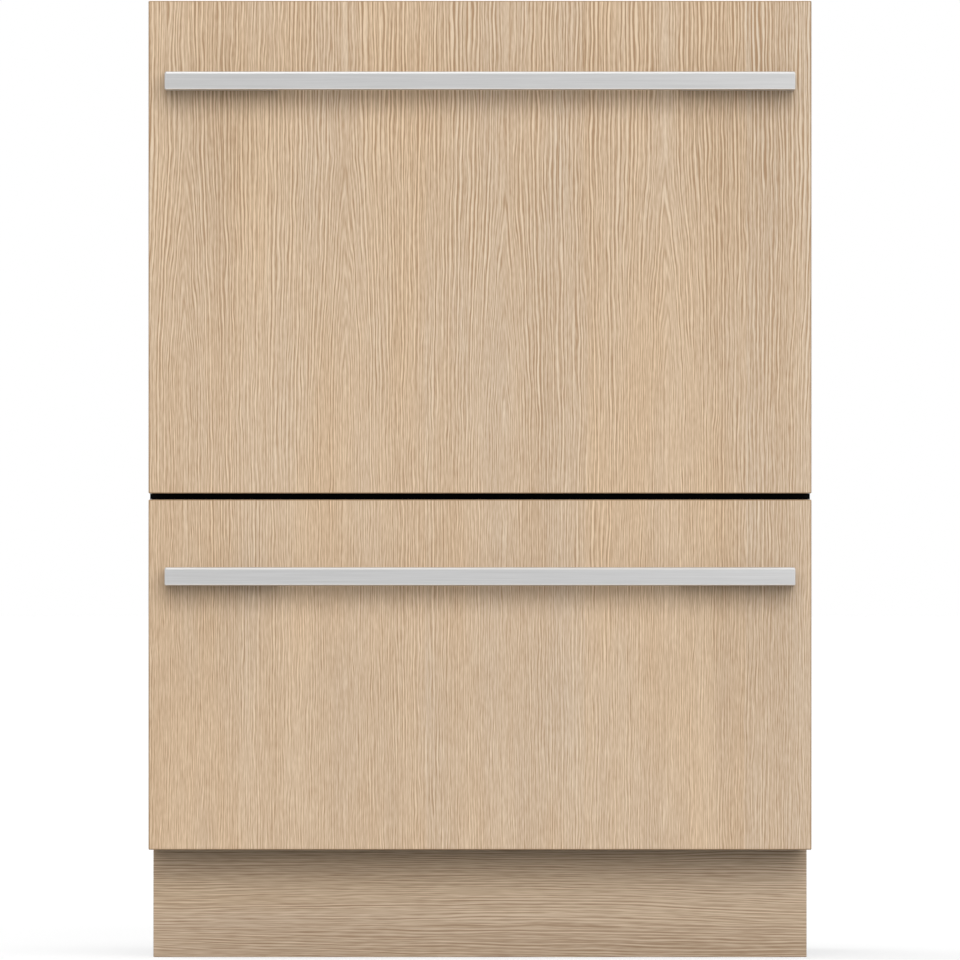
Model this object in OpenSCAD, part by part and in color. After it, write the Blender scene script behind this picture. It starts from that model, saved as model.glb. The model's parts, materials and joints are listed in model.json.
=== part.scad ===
// Built-in double dishwasher drawer: two wash tubs on telescopic runners, one above the other,
// behind veneered fronts with long flat pulls, over a recessed plinth board.
// Millimetres. +X is to the right as the fronts are faced, +Y goes to the back, +Z is up.
// The origin is on the floor, in the middle of the width and of the whole depth.

/* [Fronts] */
// Width of both veneered fronts
front_w = 599; // [597:0.5:610]
// Height of the upper front
upper_front_h = 445; // [400:5:500]
// Height of the lower front
lower_front_h = 316.4; // [310:0.2:360]
// Dark joint between the two fronts
front_gap = 5.6; // [5:0.1:7]
// Thickness of a front
front_t = 19; // [16:0.5:22]
// Chamfer round the edge of a front
front_ease = 0.8; // [0.4:0.1:1.5]

/* [Plinth] */
// Height from the floor to the lower front
plinth_h = 98; // [96:1:150]
// Step in from the edge of the fronts to the end of the plinth board
plinth_margin = 3.7; // [3.5:0.1:12]
// Thickness of the plinth board
plinth_t = 16; // [12:1:19]
// Set-back of the plinth board from the face of the fronts
plinth_recess = 60; // [55:1:75]
// How far the plinth board reaches up behind the lower front
plinth_overlap = 2; // [0:0.5:4]

/* [Handles] */
// Distance from the side of a front to the end of its handle
handle_margin = 15; // [4:0.5:60]
// Height of a handle bar
handle_h = 16.8; // [12:0.2:22]
// Thickness of a handle bar
handle_bar_t = 8; // [6:0.5:12]
// Reach of a handle in front of its door front
handle_reach = 38; // [30:1:50]
// Width of each handle foot
handle_foot_w = 102; // [40:1:150]
// Top of the upper front down to its handle
upper_handle_drop = 64.3; // [40:0.1:120]
// Top of the lower front down to its handle
lower_handle_drop = 61; // [40:0.1:120]

/* [Chassis] */
// Step in from the edge of the fronts to the side of the chassis
chassis_margin = 1.5; // [1.2:0.1:2.5]
// Depth of the chassis, front edge to back
chassis_d = 524; // [500:1:560]
// Thickness of the chassis sheet steel
sheet_t = 1.2; // [0.8:0.1:1.5]
// Drop from the top of the upper front to the chassis roof
roof_drop = 3; // [2:0.5:5]
// Depth of the stiffening beads pressed in the sheet
bead_d = 1.2; // [0.6:0.1:1.4]
// Width of the stiffening beads
bead_w = 26; // [16:1:40]
// Distance from the edge of a sheet to the ends of its beads
bead_margin = 40; // [30:1:60]
// Width of each cooling slot in the back
louvre_h = 6; // [3:0.5:8]
// Distance from the side of the back to its cooling slots
louvre_margin = 138; // [130:1:200]
// Drop of the tray's front lip behind the plinth board
tray_lip = 24; // [10:1:40]
// Width of the tabs that screw up into a worktop
roof_tab_w = 40; // [20:1:60]
// Reach of those tabs in front of the chassis
roof_tab_l = 22; // [18:1:24]
// Height of the bar between the two drawers
brace_h = 18; // [14:0.5:19]
// Height of the dark nose in the joint between the fronts
nose_h = 4.6; // [3:0.1:4.8]
// Step in from the edge of the fronts to the end of the dark nose
nose_margin = 1.3; // [1:0.1:3]
// Radius of the cabinet screw holes
fixing_hole_r = 2.5; // [1.5:0.25:3]

/* [Feet] */
// Radius of a foot pad
foot_pad_r = 16; // [12:0.5:16.5]
// Height of a foot pad
foot_pad_h = 8; // [5:1:12]
// Radius of a foot's threaded stem
foot_stem_r = 5; // [3:0.5:6]
// Travel of a levelling foot
foot_travel = 60; // [30:5:60]
// Distance from the side of the base tray to a foot's axis
foot_inset = 17.6; // [17:0.1:18.5]

/* [Drawers] */
// Travel of a drawer
drawer_travel = 480; // [400:10:480]
// Depth of the steel frame behind a front
frame_d = 26; // [24:0.5:30]
// Gap between the frame and the chassis edge
frame_gap = 3; // [2:0.5:5]
// Margin of the frame inside its front
frame_margin = 3; // [2.5:0.5:5]
// Thickness of the frame's sheet
frame_t = 1; // [0.8:0.1:1.5]
// Width of the ledge on a tub's side that its runner is screwed to
ledge_w = 13.8; // [12:0.2:16]
// Wall of a tub
tub_wall = 3; // [2:0.25:4]
// Outer corner radius of a tub
tub_r = 34; // [20:1:50]
// Width of the rim flange round a tub
rim_w = 8; // [7:0.5:8.5]
// Width of the two bosses that join a tub to its frame
tub_boss_w = 30; // [16:2:50]
// Space under a tub for its pump
under_tub = 50; // [50:1:54]
// Drop from the top of a front to its tub's rim
rim_drop = 38; // [37.5:0.25:42]
// Depth of the bay behind a tub for its hose link
link_bay = 41.8; // [40:0.2:60]

/* [Runners] */
// Length of each runner member
runner_l = 484; // [460:2:484]
// Height of a runner
runner_h = 45; // [38:1:52]
// Thickness of a closed runner
runner_t = 13; // [12.5:0.1:14]
// Thickness of the runner steel
runner_s = 1.5; // [1:0.1:1.6]
// Height of a runner's middle above its tub's underside
runner_rise = 70; // [60:1:90]
// Running clearance between sliding parts
run_gap = 0.3; // [0.2:0.05:0.4]

/* [Lids] */
// Lift of a lid off its tub
lid_lift = 10; // [6:1:10]
// Thickness of a lid
lid_t = 12; // [10:0.5:12.5]
// Width of a lid's solid edge
lid_edge_w = 16; // [13:1:24]
// Top skin of a lid
lid_skin = 3; // [2:0.25:4]
// Height of a lid's gasket
gasket_h = 3; // [2:0.25:3.2]
// Radius of the pins that carry a lid
lid_pin_r = 3; // [2:0.25:3.5]
// Thickness of the yokes that lift a lid
yoke_t = 4; // [2.5:0.25:4]
// Length of the plungers that push the yokes
plunger_l = 28; // [26:1:32]

/* [Wash system] */
// Radius of the sump
sump_r = 120; // [110:1:130]
// Depth of the sump under the tub's underside
sump_d = 14; // [13:0.5:14]
// Radius of the wash pump
pump_r = 80; // [70:1:90]
// Height of the wash pump
pump_h = 26; // [26:0.5:27]
// Space between the end of the spray arm and the tub
spray_gap = 20; // [16:1:40]
// Radius of the spray arm's hub
hub_r = 24; // [18:1:28]
// Radius of the spray arm's shaft
shaft_r = 6; // [4:0.25:8]

/* [Racks] */
// Radius of the rack wire
wire_r = 2; // [1.5:0.25:2.5]
// Height of the rack's floor over the tub's floor
rack_lift = 40; // [36:1:50]
// Height of the lower drawer's rack
lower_rack_h = 110; // [105:1:120]
// Height of the upper drawer's rack
upper_rack_h = 150; // [105:1:200]
// Spacing of the rack wires
wire_pitch = 54; // [45:1:70]
// Height of the tines above the rack's floor
tine_h = 62; // [40:1:70]
// Reach of the fold-down cup rack
cup_rack_w = 80; // [60:1:90]
// Width of the cutlery basket
basket_w = 72; // [50:1:74]
// Length of the cutlery basket
basket_l = 200; // [120:5:240]
// Height of the cutlery basket
basket_h = 100; // [80:1:104]

/* [Links] */
// Length of a link arm between its pivots
link_l = 400; // [380:1:420]
// Width of a link arm
link_w = 28; // [22:1:30]
// Height of a link arm
link_h = 14; // [10:0.5:18]
// Radius of the pivot pins
pivot_r = 5; // [3:0.25:6]
// Radial clearance of pins and stems in their bores
bore_gap = 0.1; // [0.05:0.01:0.2]

/* [Connections] */
// Radius of the water inlet's thread
inlet_r = 13.2; // [10:0.1:14]
// Radius of the drain spigot
drain_r = 9.5; // [8:0.1:11]
// Radius of the cable gland's bore
gland_r = 4.2; // [3:0.1:5]
// Length of the connections behind their wall
connection_l = 23; // [18:1:28]

/* [Hidden] */
$fn = 48;

LOWER = 0;
UPPER = 1;
corner_steps = 8;    // straight steps in a quarter of a rounded outline

// Depth stations, from the handles to the back
total_d = chassis_d + frame_gap + frame_d + front_t + handle_reach;
back_y = total_d / 2;
handle_y = -back_y;
face_y = handle_y + handle_reach;
frame_y = face_y + front_t;
frame_back_y = frame_y + frame_d;
chassis_y = frame_back_y + frame_gap;
back_inner_y = back_y - sheet_t;
plinth_y = face_y + plinth_recess;
tray_y = plinth_y + plinth_t;
tub_front_y = frame_back_y + rim_w;
tub_back_y = back_inner_y - link_bay;
tub_mid_y = (tub_front_y + tub_back_y) / 2;
link_y = back_inner_y - link_bay / 2;
nose_y = frame_y + 7;

// Width stations, on the right-hand side
yoke_inset = 15.5;
front_x = front_w / 2;
side_x = front_x - chassis_margin;
side_inner_x = side_x - sheet_t;
runner_face_x = side_inner_x - runner_t;
tub_x = runner_face_x - ledge_w;
yoke_x = side_inner_x - yoke_inset;
plinth_x = front_x - plinth_margin;
tray_x = plinth_x - 0.2;
foot_x = tray_x - foot_inset;
handle_x = front_x - handle_margin;

// Heights of the chassis
total_h = plinth_h + lower_front_h + front_gap + upper_front_h;
roof_z = total_h - roof_drop;
tray_z = plinth_h - 36;
tray_flange_z = plinth_h + 2;
wrap_z = tray_flange_z + sheet_t;
joint_z = plinth_h + lower_front_h + front_gap / 2;
connection_rise = 20;    // from the tray's underside
connection_z = tray_z + connection_rise;
connection_inset = 30;
connection_wall_y = back_y - connection_inset;
fixing_inset = 14;
fixing_y = chassis_y + fixing_inset;
fixing_low = 60;     // cabinet screws below the joint
fixing_high = 160;   // cabinet screws below the roof
fixing_zs = [joint_z - fixing_low, roof_z - fixing_high];
roof_tab_inset = 98;
roof_tab_x = side_x - roof_tab_inset;

// Heights of a drawer
link_rise = 100;         // from the tub's underside
dispenser_rise = 107;    // from the tub's floor
function front_h(level) = level == UPPER ? upper_front_h : lower_front_h;
function front_z(level) = level == UPPER ? plinth_h + lower_front_h + front_gap : plinth_h;
function front_top(level) = front_z(level) + front_h(level);
function handle_top(level) = front_top(level) - (level == UPPER ? upper_handle_drop : lower_handle_drop);
function tub_z(level) = front_z(level) + under_tub;
function floor_z(level) = tub_z(level) + tub_wall;
function rim_z(level) = front_top(level) - rim_drop;
function runner_z(level) = tub_z(level) + runner_rise;
function lid_z(level) = rim_z(level) + run_gap + gasket_h;
function link_z(level) = tub_z(level) + link_rise;
function rack_z(level) = floor_z(level) + rack_lift;
function rack_h(level) = level == UPPER ? upper_rack_h : lower_rack_h;
function dispenser_z(level) = floor_z(level) + dispenser_rise;

// Control strip and its buttons
strip_drop = 6;
strip_h = 18;
button_r = 7;
button_h = 8;
button_proud = 1.2;
button_travel = 1.2;
button_gap = 0.25;
button_pitch = 44;
strip_x = front_x - frame_margin;
stiffener_x = strip_x / 3;
stiffener_w = 30;

// Runner section, from the chassis side to the tub
middle_web_x = side_inner_x - runner_s - run_gap;
middle_lip_x = runner_face_x + runner_s + run_gap;
inner_lip_x = middle_web_x - runner_s - run_gap;
middle_h = runner_h - 2 * (runner_s + run_gap);
inner_h = middle_h - 2 * (runner_s + run_gap);
runner_y = chassis_y + 4;

// Lid, gasket and the yokes that lift it
lid_x = tub_x + 6;
lid_front_y = chassis_y + 2;
lid_back_y = tub_back_y + 4;
gasket_w = 8;
tub_boss_x = 2 * tub_x / 3;
yoke_slope = 2;      // travel of a yoke for each millimetre of lift
yoke_travel = yoke_slope * lid_lift;
yoke_margin = 8;
pin_reach = 170;     // from the middle of the tub
pin_ys = [tub_mid_y - pin_reach, tub_mid_y + pin_reach];
yoke_front_y = pin_ys[0] - yoke_travel - 14;
yoke_back_y = pin_ys[1] + 14;
guide_reach = 90;
guide_ys = [tub_mid_y - guide_reach, tub_mid_y + guide_reach];
guide_l = 40;
guide_t = 4;
plunger_r = 3;
plunger_x = yoke_x + yoke_t + 1.5;

// Pump, filter and spray arm
sump_floor_z = tub_wall - sump_d;    // from the tub's underside
neck_r = 16;
heater_ring_r = 50;
heater_tube_r = 4;
heater_post_r = 3;
filter_r = sump_r + 14;
filter_t = 2;
filter_cup_r = 24;
filter_cup_y = -88;
spray_lift = filter_t + 1;           // from the tub's floor
spray_hub_h = 18;
blade_h = 9;
blade_root_w = 46;
blade_tip_w = 34;
spray_r = (tub_back_y - tub_front_y) / 2 - tub_wall - spray_gap;
shaft_drop = 33;

// Rack frame inside the tub
rack_x = tub_x - tub_wall - 19;
dispenser_d = 20;
dispenser_w = 200;
dispenser_h = 84;
door_t = 2;
rack_front_y = tub_front_y + tub_wall + dispenser_d + 11;
rack_back_y = tub_back_y - tub_wall - 9;
wires_x = floor(2 * rack_x / wire_pitch);
wires_y = floor((rack_back_y - rack_front_y) / wire_pitch);
mat_butt = wire_r + 0.1;    // from the middle of one mat's wire to the end of the next mat's
rack_dip_h = dispenser_rise - rack_lift - 7;    // front of the rack below the dispenser
high_wires = floor((rack_x - dispenser_w / 2 - 8) / (2 * rack_x / wires_x));
tine_xs = [-2.5, -1.5, -0.5, 0.5, 1.5];    // in steps of the wire pitch
tine_pitch = 36;
tine_reach = 4 * tine_pitch;
tine_end = 14;
cup_lean = 6;
cup_axis_x = -(rack_x - 14);
cup_axis_rise = 85;
cup_rack_l = 210;
cup_rack_y = tub_mid_y - cup_rack_l / 2;
basket_x = rack_x - 8 - basket_w;
basket_y = rack_front_y + 10;
basket_wall = 2.5;

// Link arms
link_pivot_x = tub_x - 40;
link_split = 0.3;    // from the mid plane to each arm
link_wall = 2;
bracket_t = 4;
bracket_w = 44;

// ---------------------------------------------------------------- shapes

// Box between two opposite corners
module block(low, high) {
    translate(low) cube(high - low);
}

// Cylinder that starts at a point and runs along +X
module bar_x(start, r, l) {
    translate(start) rotate([0, 90, 0]) cylinder(r = r, h = l);
}

// Cylinder that starts at a point and runs along +Y
module bar_y(start, r, l) {
    translate(start) rotate([-90, 0, 0]) cylinder(r = r, h = l);
}

// Cylinder that starts at a point and runs along +Z
module bar_z(start, r, l) {
    translate(start) cylinder(r = r, h = l);
}

// What is drawn for the right-hand side, and its mirror image
module both_sides() {
    children();
    mirror([1, 0, 0]) children();
}

// Points on a circular arc
function arc(c, r, from, to) =
    [for (i = [0:corner_steps]) c + r * [cos(from + (to - from) * i / corner_steps),
                                         sin(from + (to - from) * i / corner_steps)]];

// Outline of a rectangle with round corners
function rounded(x0, x1, y0, y1, r) = concat(
    arc([x1 - r, y1 - r], r, 0, 90),
    arc([x0 + r, y1 - r], r, 90, 180),
    arc([x0 + r, y0 + r], r, 180, 270),
    arc([x1 - r, y0 + r], r, 270, 360));

// Outline of a bar with round ends, from the origin along -X, that may taper
function round_bar(l, root_r, tip_r) = concat(
    arc([0, 0], root_r, -90, 90),
    arc([-l, 0], tip_r, 90, 270));

// Straight prism over an outline
module prism(outline, z0, z1) {
    translate([0, 0, z0]) linear_extrude(z1 - z0) polygon(outline);
}

// Outline in X and Z, carried from y0 to y1
module prism_y(outline, y0, y1) {
    translate([0, y1, 0]) rotate([90, 0, 0]) linear_extrude(y1 - y0) polygon(outline);
}

// Outline in Y and Z, carried from x0 to x1
module prism_x(outline, x0, x1) {
    translate([x0, 0, 0]) rotate([90, 0, 90]) linear_extrude(x1 - x0) polygon(outline);
}

// Section of a pressed bead: a low trapezium of width w that stands d off its base
function bead(w, d) = [[-w / 2, 0], [-w / 2 + d, d], [w / 2 - d, d], [w / 2, 0]];

// C section in X and Z: a web whose face is at web_x, and lips that reach lip_x
function channel(web_x, lip_x, z, h, t) =
    let (s = lip_x > web_x ? 1 : -1)
    [[web_x, z - h / 2], [lip_x, z - h / 2], [lip_x, z - h / 2 + t], [web_x + s * t, z - h / 2 + t],
     [web_x + s * t, z + h / 2 - t], [lip_x, z + h / 2 - t], [lip_x, z + h / 2], [web_x, z + h / 2]];

// ---------------------------------------------------------------- chassis

// Side sheet with its beads and cabinet screw holes, right-hand side
module side_sheet() {
    difference() {
        union() {
            block([side_inner_x, chassis_y, wrap_z], [side_x, back_y, roof_z]);
            for (z = [wrap_z + 45, joint_z, roof_z - 45])
                translate([side_x, 0, z]) rotate([0, 90, 0]) rotate([0, 0, 90])
                    prism_x(bead(bead_w, bead_d), chassis_y + bead_margin, back_y - bead_margin);
        }
        for (z = fixing_zs)
            bar_x([side_inner_x - 1, fixing_y, z], fixing_hole_r, sheet_t + 2);
    }
}

// Bracket on the back sheet with the pin that carries a rear link arm
module link_bracket(level) {
    low = link_z(level) - link_split - link_h - run_gap;
    block([link_pivot_x - bracket_w / 2, link_y - 12, low - bracket_t],
          [link_pivot_x + bracket_w / 2, back_inner_y, low]);
    bar_z([link_pivot_x, link_y, low - bracket_t / 2], pivot_r, link_h + bracket_t / 2);
}

// Sides and back, folded from one sheet
module chassis_wrap() {
    louvre_x = side_x - louvre_margin;
    color("lightgray") {
        both_sides() side_sheet();
        difference() {
            block([-side_inner_x, back_inner_y, wrap_z], [side_inner_x, back_y, roof_z]);
            for (i = [-4:4])
                block([-louvre_x, back_inner_y - 1, joint_z + (2 * i - 0.5) * louvre_h],
                      [louvre_x, back_y + 1, joint_z + (2 * i + 0.5) * louvre_h]);
        }
        link_bracket(LOWER);
        link_bracket(UPPER);
    }
}

// Roof sheet with two beads and the tabs that screw up into a worktop
module chassis_roof() {
    color("lightgray") difference() {
        union() {
            block([-side_inner_x, chassis_y, roof_z - sheet_t], [side_inner_x, back_inner_y, roof_z]);
            for (x = [-side_x / 2, side_x / 2])
                translate([x, 0, roof_z])
                    prism_y(bead(bead_w, bead_d), chassis_y + bead_margin, back_y - bead_margin);
            for (x = [-roof_tab_x, roof_tab_x])
                block([x - roof_tab_w / 2, chassis_y - roof_tab_l, roof_z - sheet_t],
                      [x + roof_tab_w / 2, chassis_y, roof_z]);
        }
        for (x = [-roof_tab_x, roof_tab_x])
            bar_z([x, chassis_y - roof_tab_l / 2, roof_z - sheet_t - 1], fixing_hole_r, sheet_t + 2);
    }
}

// Tray under the chassis: floor, side walls with flanges for the wrap, a wall for the
// connections, a lip behind the plinth board, and a threaded boss over each foot
module base_tray() {
    color("gainsboro") difference() {
        union() {
            block([-tray_x, tray_y, tray_z], [tray_x, connection_wall_y, tray_z + sheet_t]);
            both_sides() {
                block([tray_x - sheet_t, tray_y, tray_z], [tray_x, connection_wall_y, wrap_z]);
                block([tray_x - sheet_t, tray_y, tray_flange_z], [side_x, connection_wall_y, wrap_z]);
            }
            block([-tray_x, connection_wall_y - sheet_t, tray_z], [tray_x, connection_wall_y, wrap_z]);
            block([-tray_x, tray_y, tray_z - tray_lip], [tray_x, tray_y + sheet_t, tray_z]);
            for (p = foot_places)
                bar_z([p[0], p[1], tray_z], foot_stem_r + 4, boss_h);
        }
        for (p = foot_places)
            bar_z([p[0], p[1], tray_z - 1], foot_stem_r + bore_gap, boss_h + 2);
        bar_y([inlet_x, connection_wall_y - 5, connection_z], inlet_r + run_gap, 10);
        bar_y([drain_x, connection_wall_y - 5, connection_z], drain_r + run_gap, 10);
        bar_y([terminal_x, connection_wall_y - 5, connection_z], gland_outer_r + run_gap, 10);
    }
}

boss_h = 28;
foot_places = [[-foot_x, tray_y + 26], [foot_x, tray_y + 26],
               [-foot_x, connection_wall_y - 20], [foot_x, connection_wall_y - 20]];

// Bar between the drawers: a channel across the chassis, with the dark nose that fills the joint
module front_brace() {
    color([0.04, 0.04, 0.045]) {
        block([-side_inner_x, chassis_y, joint_z - brace_h / 2],
              [side_inner_x, chassis_y + sheet_t, joint_z + brace_h / 2]);
        for (z = [joint_z - brace_h / 2, joint_z + brace_h / 2 - sheet_t])
            block([-side_inner_x, chassis_y, z], [side_inner_x, chassis_y + brace_h, z + sheet_t]);
        block([-front_x + nose_margin, nose_y, joint_z - nose_h / 2],
              [front_x - nose_margin, chassis_y, joint_z + nose_h / 2]);
    }
}

// Plinth board, grain across
module plinth_board() {
    color("tan")
        block([-plinth_x, plinth_y, 0], [plinth_x, tray_y, plinth_h + plinth_overlap]);
}

// Levelling foot: pad, hexagon for a spanner and threaded stem, screwed fully home
module foot(i) {
    color("dimgray") translate(foot_places[i]) {
        cylinder(r1 = foot_pad_r, r2 = foot_pad_r - 2, h = foot_pad_h);
        translate([0, 0, foot_pad_h]) cylinder(r = foot_stem_r + 4, h = 7, $fn = 6);
        cylinder(r = foot_stem_r, h = tray_z + foot_travel + 26);
    }
}

// ---------------------------------------------------------------- connections

inlet_x = 170;
drain_x = 90;
terminal_x = -170;
gland_outer_r = 8;
nut_h = 5;

// Solenoid valve body with the threaded water inlet
module inlet_valve() {
    color("white") difference() {
        union() {
            block([inlet_x - 20, connection_wall_y - sheet_t - 34, tray_z + sheet_t],
                  [inlet_x + 20, connection_wall_y - sheet_t, tray_z + sheet_t + 34]);
            bar_y([inlet_x, connection_wall_y - sheet_t, connection_z], inlet_r, connection_l + sheet_t);
            translate([inlet_x, connection_wall_y, connection_z]) rotate([-90, 0, 0])
                cylinder(r = inlet_r + 4, h = nut_h, $fn = 6);
        }
        bar_y([inlet_x, connection_wall_y - 10, connection_z], inlet_r - 5, connection_l + 11);
    }
}

// Drain elbow with its hose spigot
module drain_outlet() {
    color("darkgray") difference() {
        union() {
            block([drain_x - 16, connection_wall_y - sheet_t - 30, tray_z + sheet_t],
                  [drain_x + 16, connection_wall_y - sheet_t, tray_z + sheet_t + 32]);
            bar_y([drain_x, connection_wall_y - sheet_t, connection_z], drain_r, connection_l + sheet_t);
            bar_y([drain_x, connection_wall_y, connection_z], drain_r + 4, nut_h);
        }
        bar_y([drain_x, connection_wall_y - 12, connection_z], drain_r - 2, connection_l + 13);
    }
}

// Terminal box with the gland that the mains cable goes into
module mains_terminal() {
    color("darkslategray") difference() {
        union() {
            block([terminal_x - 40, connection_wall_y - sheet_t - 46, tray_z + sheet_t],
                  [terminal_x + 40, connection_wall_y - sheet_t, tray_z + sheet_t + 34]);
            bar_y([terminal_x, connection_wall_y - sheet_t, connection_z], gland_outer_r, 17);
            translate([terminal_x, connection_wall_y, connection_z]) rotate([-90, 0, 0])
                cylinder(r = gland_outer_r + 3, h = nut_h, $fn = 6);
        }
        bar_y([terminal_x, connection_wall_y - 20, connection_z], gland_r, 40);
    }
}

// ---------------------------------------------------------------- runners

// Member fixed to the chassis side, all four of them
module runner_outer_channels() {
    color("silver") both_sides() for (level = [LOWER, UPPER])
        prism_y(channel(side_inner_x, runner_face_x + run_gap, runner_z(level), runner_h, runner_s),
                runner_y, runner_y + runner_l);
}

// Middle members of one drawer, which travel half as far as the drawer
module runner_middles(level) {
    color("silver") both_sides()
        prism_y(channel(middle_web_x, middle_lip_x, runner_z(level), middle_h, runner_s),
                runner_y, runner_y + runner_l);
}

// Inner members of one drawer, screwed to the ledges of its tub
module runner_inners(level) {
    color("silver") both_sides()
        prism_y(channel(runner_face_x, inner_lip_x, runner_z(level), inner_h, runner_s),
                runner_y, runner_y + runner_l);
}

// ---------------------------------------------------------------- drawer front

// Veneered front with its front edges eased
module front_panel(level) {
    z0 = front_z(level);
    z1 = front_top(level);
    e = front_ease;
    x = front_x;
    color("burlywood") intersection() {
        prism_x([[face_y, z0 + e], [face_y + e, z0], [frame_y, z0],
                 [frame_y, z1], [face_y + e, z1], [face_y, z1 - e]], -x, x);
        prism([[-x, frame_y], [-x, face_y + e], [-x + e, face_y],
               [x - e, face_y], [x, face_y + e], [x, frame_y]], z0, z1);
    }
}

// Flat bar on two wide feet
module handle(level) {
    z1 = handle_top(level);
    z0 = z1 - handle_h;
    color("silver") {
        block([-handle_x, handle_y, z0], [handle_x, handle_y + handle_bar_t, z1]);
        both_sides()
            block([handle_x - handle_foot_w, handle_y, z0], [handle_x, face_y, z1]);
    }
}

// Open steel pan behind the front, with two upright stiffeners
module front_frame(level) {
    z0 = front_z(level) + frame_margin;
    z1 = front_top(level) - strip_drop - strip_h;
    t = frame_t;
    w = stiffener_w / 2;
    color("dimgray") {
        difference() {
            block([-strip_x, frame_y, z0], [strip_x, frame_back_y, z1]);
            block([-strip_x + t, frame_y - 1, z0 + t], [strip_x - t, frame_back_y - t, z1 - t]);
        }
        for (x = [-stiffener_x, stiffener_x])
            translate([x, 0, 0]) difference() {
                block([-w, frame_y, z0], [w, frame_back_y, z1]);
                block([-w + t, frame_y + t, z0 + t], [w - t, frame_back_y - t, z1 - t]);
                block([-w + 4, frame_y - 1, z0 + 30], [w - 4, frame_y + t + 1, z1 - 30]);
            }
    }
}

// Place of the buttons along the control strip
function button_x(i) = (i - 1) * button_pitch;

// Moulded strip along the top of the frame, with a well for each button and a display window
module control_strip(level) {
    z1 = front_top(level) - strip_drop;
    mid_y = (frame_y + frame_back_y) / 2;
    color("black") difference() {
        block([-strip_x, frame_y, z1 - strip_h], [strip_x, frame_back_y, z1]);
        for (i = [0:2])
            bar_z([button_x(i), mid_y, z1 - button_h - button_travel], button_r + button_gap, button_h + 3);
        block([2.2 * button_pitch, mid_y - 6, z1 - 1], [3.6 * button_pitch, mid_y + 6, z1 + 1]);
    }
}

// Push button in its well
module button(level, i) {
    z1 = front_top(level) - strip_drop;
    mid_y = (frame_y + frame_back_y) / 2;
    color("gainsboro")
        bar_z([button_x(i), mid_y, z1 + button_proud - button_h], button_r, button_h);
}

// ---------------------------------------------------------------- tub

// Rounded plan of the tub, grown by g
function tub_plan(g) = rounded(-tub_x - g, tub_x + g, tub_front_y - g, tub_back_y + g, tub_r + g);

// Ribbed ledge that a runner's inner member is screwed to, right-hand side
module tub_ledge(level) {
    z = runner_z(level);
    y0 = tub_front_y + tub_r;
    y1 = tub_back_y - tub_r;
    ribs = 8;
    t = tub_wall;
    for (rib_z = [z - inner_h / 2 + t, z + inner_h / 2 - 2 * t])
        block([tub_x - t / 2, y0, rib_z], [runner_face_x, y1, rib_z + t]);
    for (i = [0:ribs])
        block([tub_x - t / 2, y0 + (y1 - y0 - t) * i / ribs, z - inner_h / 2 + t],
              [runner_face_x, y0 + (y1 - y0 - t) * i / ribs + t, z + inner_h / 2 - t]);
}

// Bracket on the tub's back with the pin that carries the front link arm
module tub_link_bracket(level) {
    high = link_z(level) + link_split + link_h + run_gap;
    block([link_pivot_x - bracket_w / 2, tub_back_y - 1, high],
          [link_pivot_x + bracket_w / 2, link_y + 12, high + bracket_t]);
    bar_z([link_pivot_x, link_y, high - link_h], pivot_r, link_h + bracket_t / 2);
}

// Tub with its rim flange, sump, front bosses, runner ledges and link bracket
module tub(level) {
    z0 = tub_z(level);
    z1 = rim_z(level);
    color("lightgray") difference() {
        union() {
            prism(tub_plan(0), z0, z1);
            prism(tub_plan(rim_w), z1 - tub_wall, z1);
            bar_z([0, tub_mid_y, z0 - sump_d], sump_r, sump_d + 1);
            for (x = [-tub_boss_x, tub_boss_x])
                block([x - tub_boss_w / 2, frame_back_y, z0 + 20],
                      [x + tub_boss_w / 2, tub_front_y + 1, z1]);
            both_sides() tub_ledge(level);
            tub_link_bracket(level);
        }
        prism(tub_plan(-tub_wall), z0 + tub_wall, z1 + 1);
        bar_z([0, tub_mid_y, z0 + sump_floor_z], sump_r - tub_wall, sump_d);
        bar_z([0, tub_mid_y, z0 - sump_d - 1], neck_r + run_gap, sump_d);
        for (side = [-1, 1])
            bar_z([side * heater_ring_r, tub_mid_y, z0 - sump_d - 1], heater_post_r + run_gap, sump_d);
    }
}

// ---------------------------------------------------------------- wash system

// Flat pump under the sump, its neck and shaft bearing, the heater ring and the drain stub
module wash_pump(level) {
    z1 = tub_z(level) - sump_d;
    ring_z = tub_z(level) + sump_floor_z + heater_tube_r + 1;
    color("darkslategray") translate([0, tub_mid_y, 0]) difference() {
        union() {
            bar_z([0, 0, z1 - pump_h], pump_r, pump_h);
            bar_z([0, 0, z1 - 1], neck_r, sump_d - 3);
            for (side = [-1, 1])
                bar_z([side * heater_ring_r, 0, z1 - 1], heater_post_r, ring_z - z1 + 1);
            translate([0, 0, ring_z]) rotate_extrude() translate([heater_ring_r, 0]) circle(heater_tube_r);
            bar_y([0, pump_r - 10, z1 - pump_h / 2], 9, 50);
        }
        bar_z([0, 0, tub_z(level) + spray_lift + tub_wall - shaft_drop - run_gap], shaft_r + bore_gap, shaft_drop);
    }
}

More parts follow.
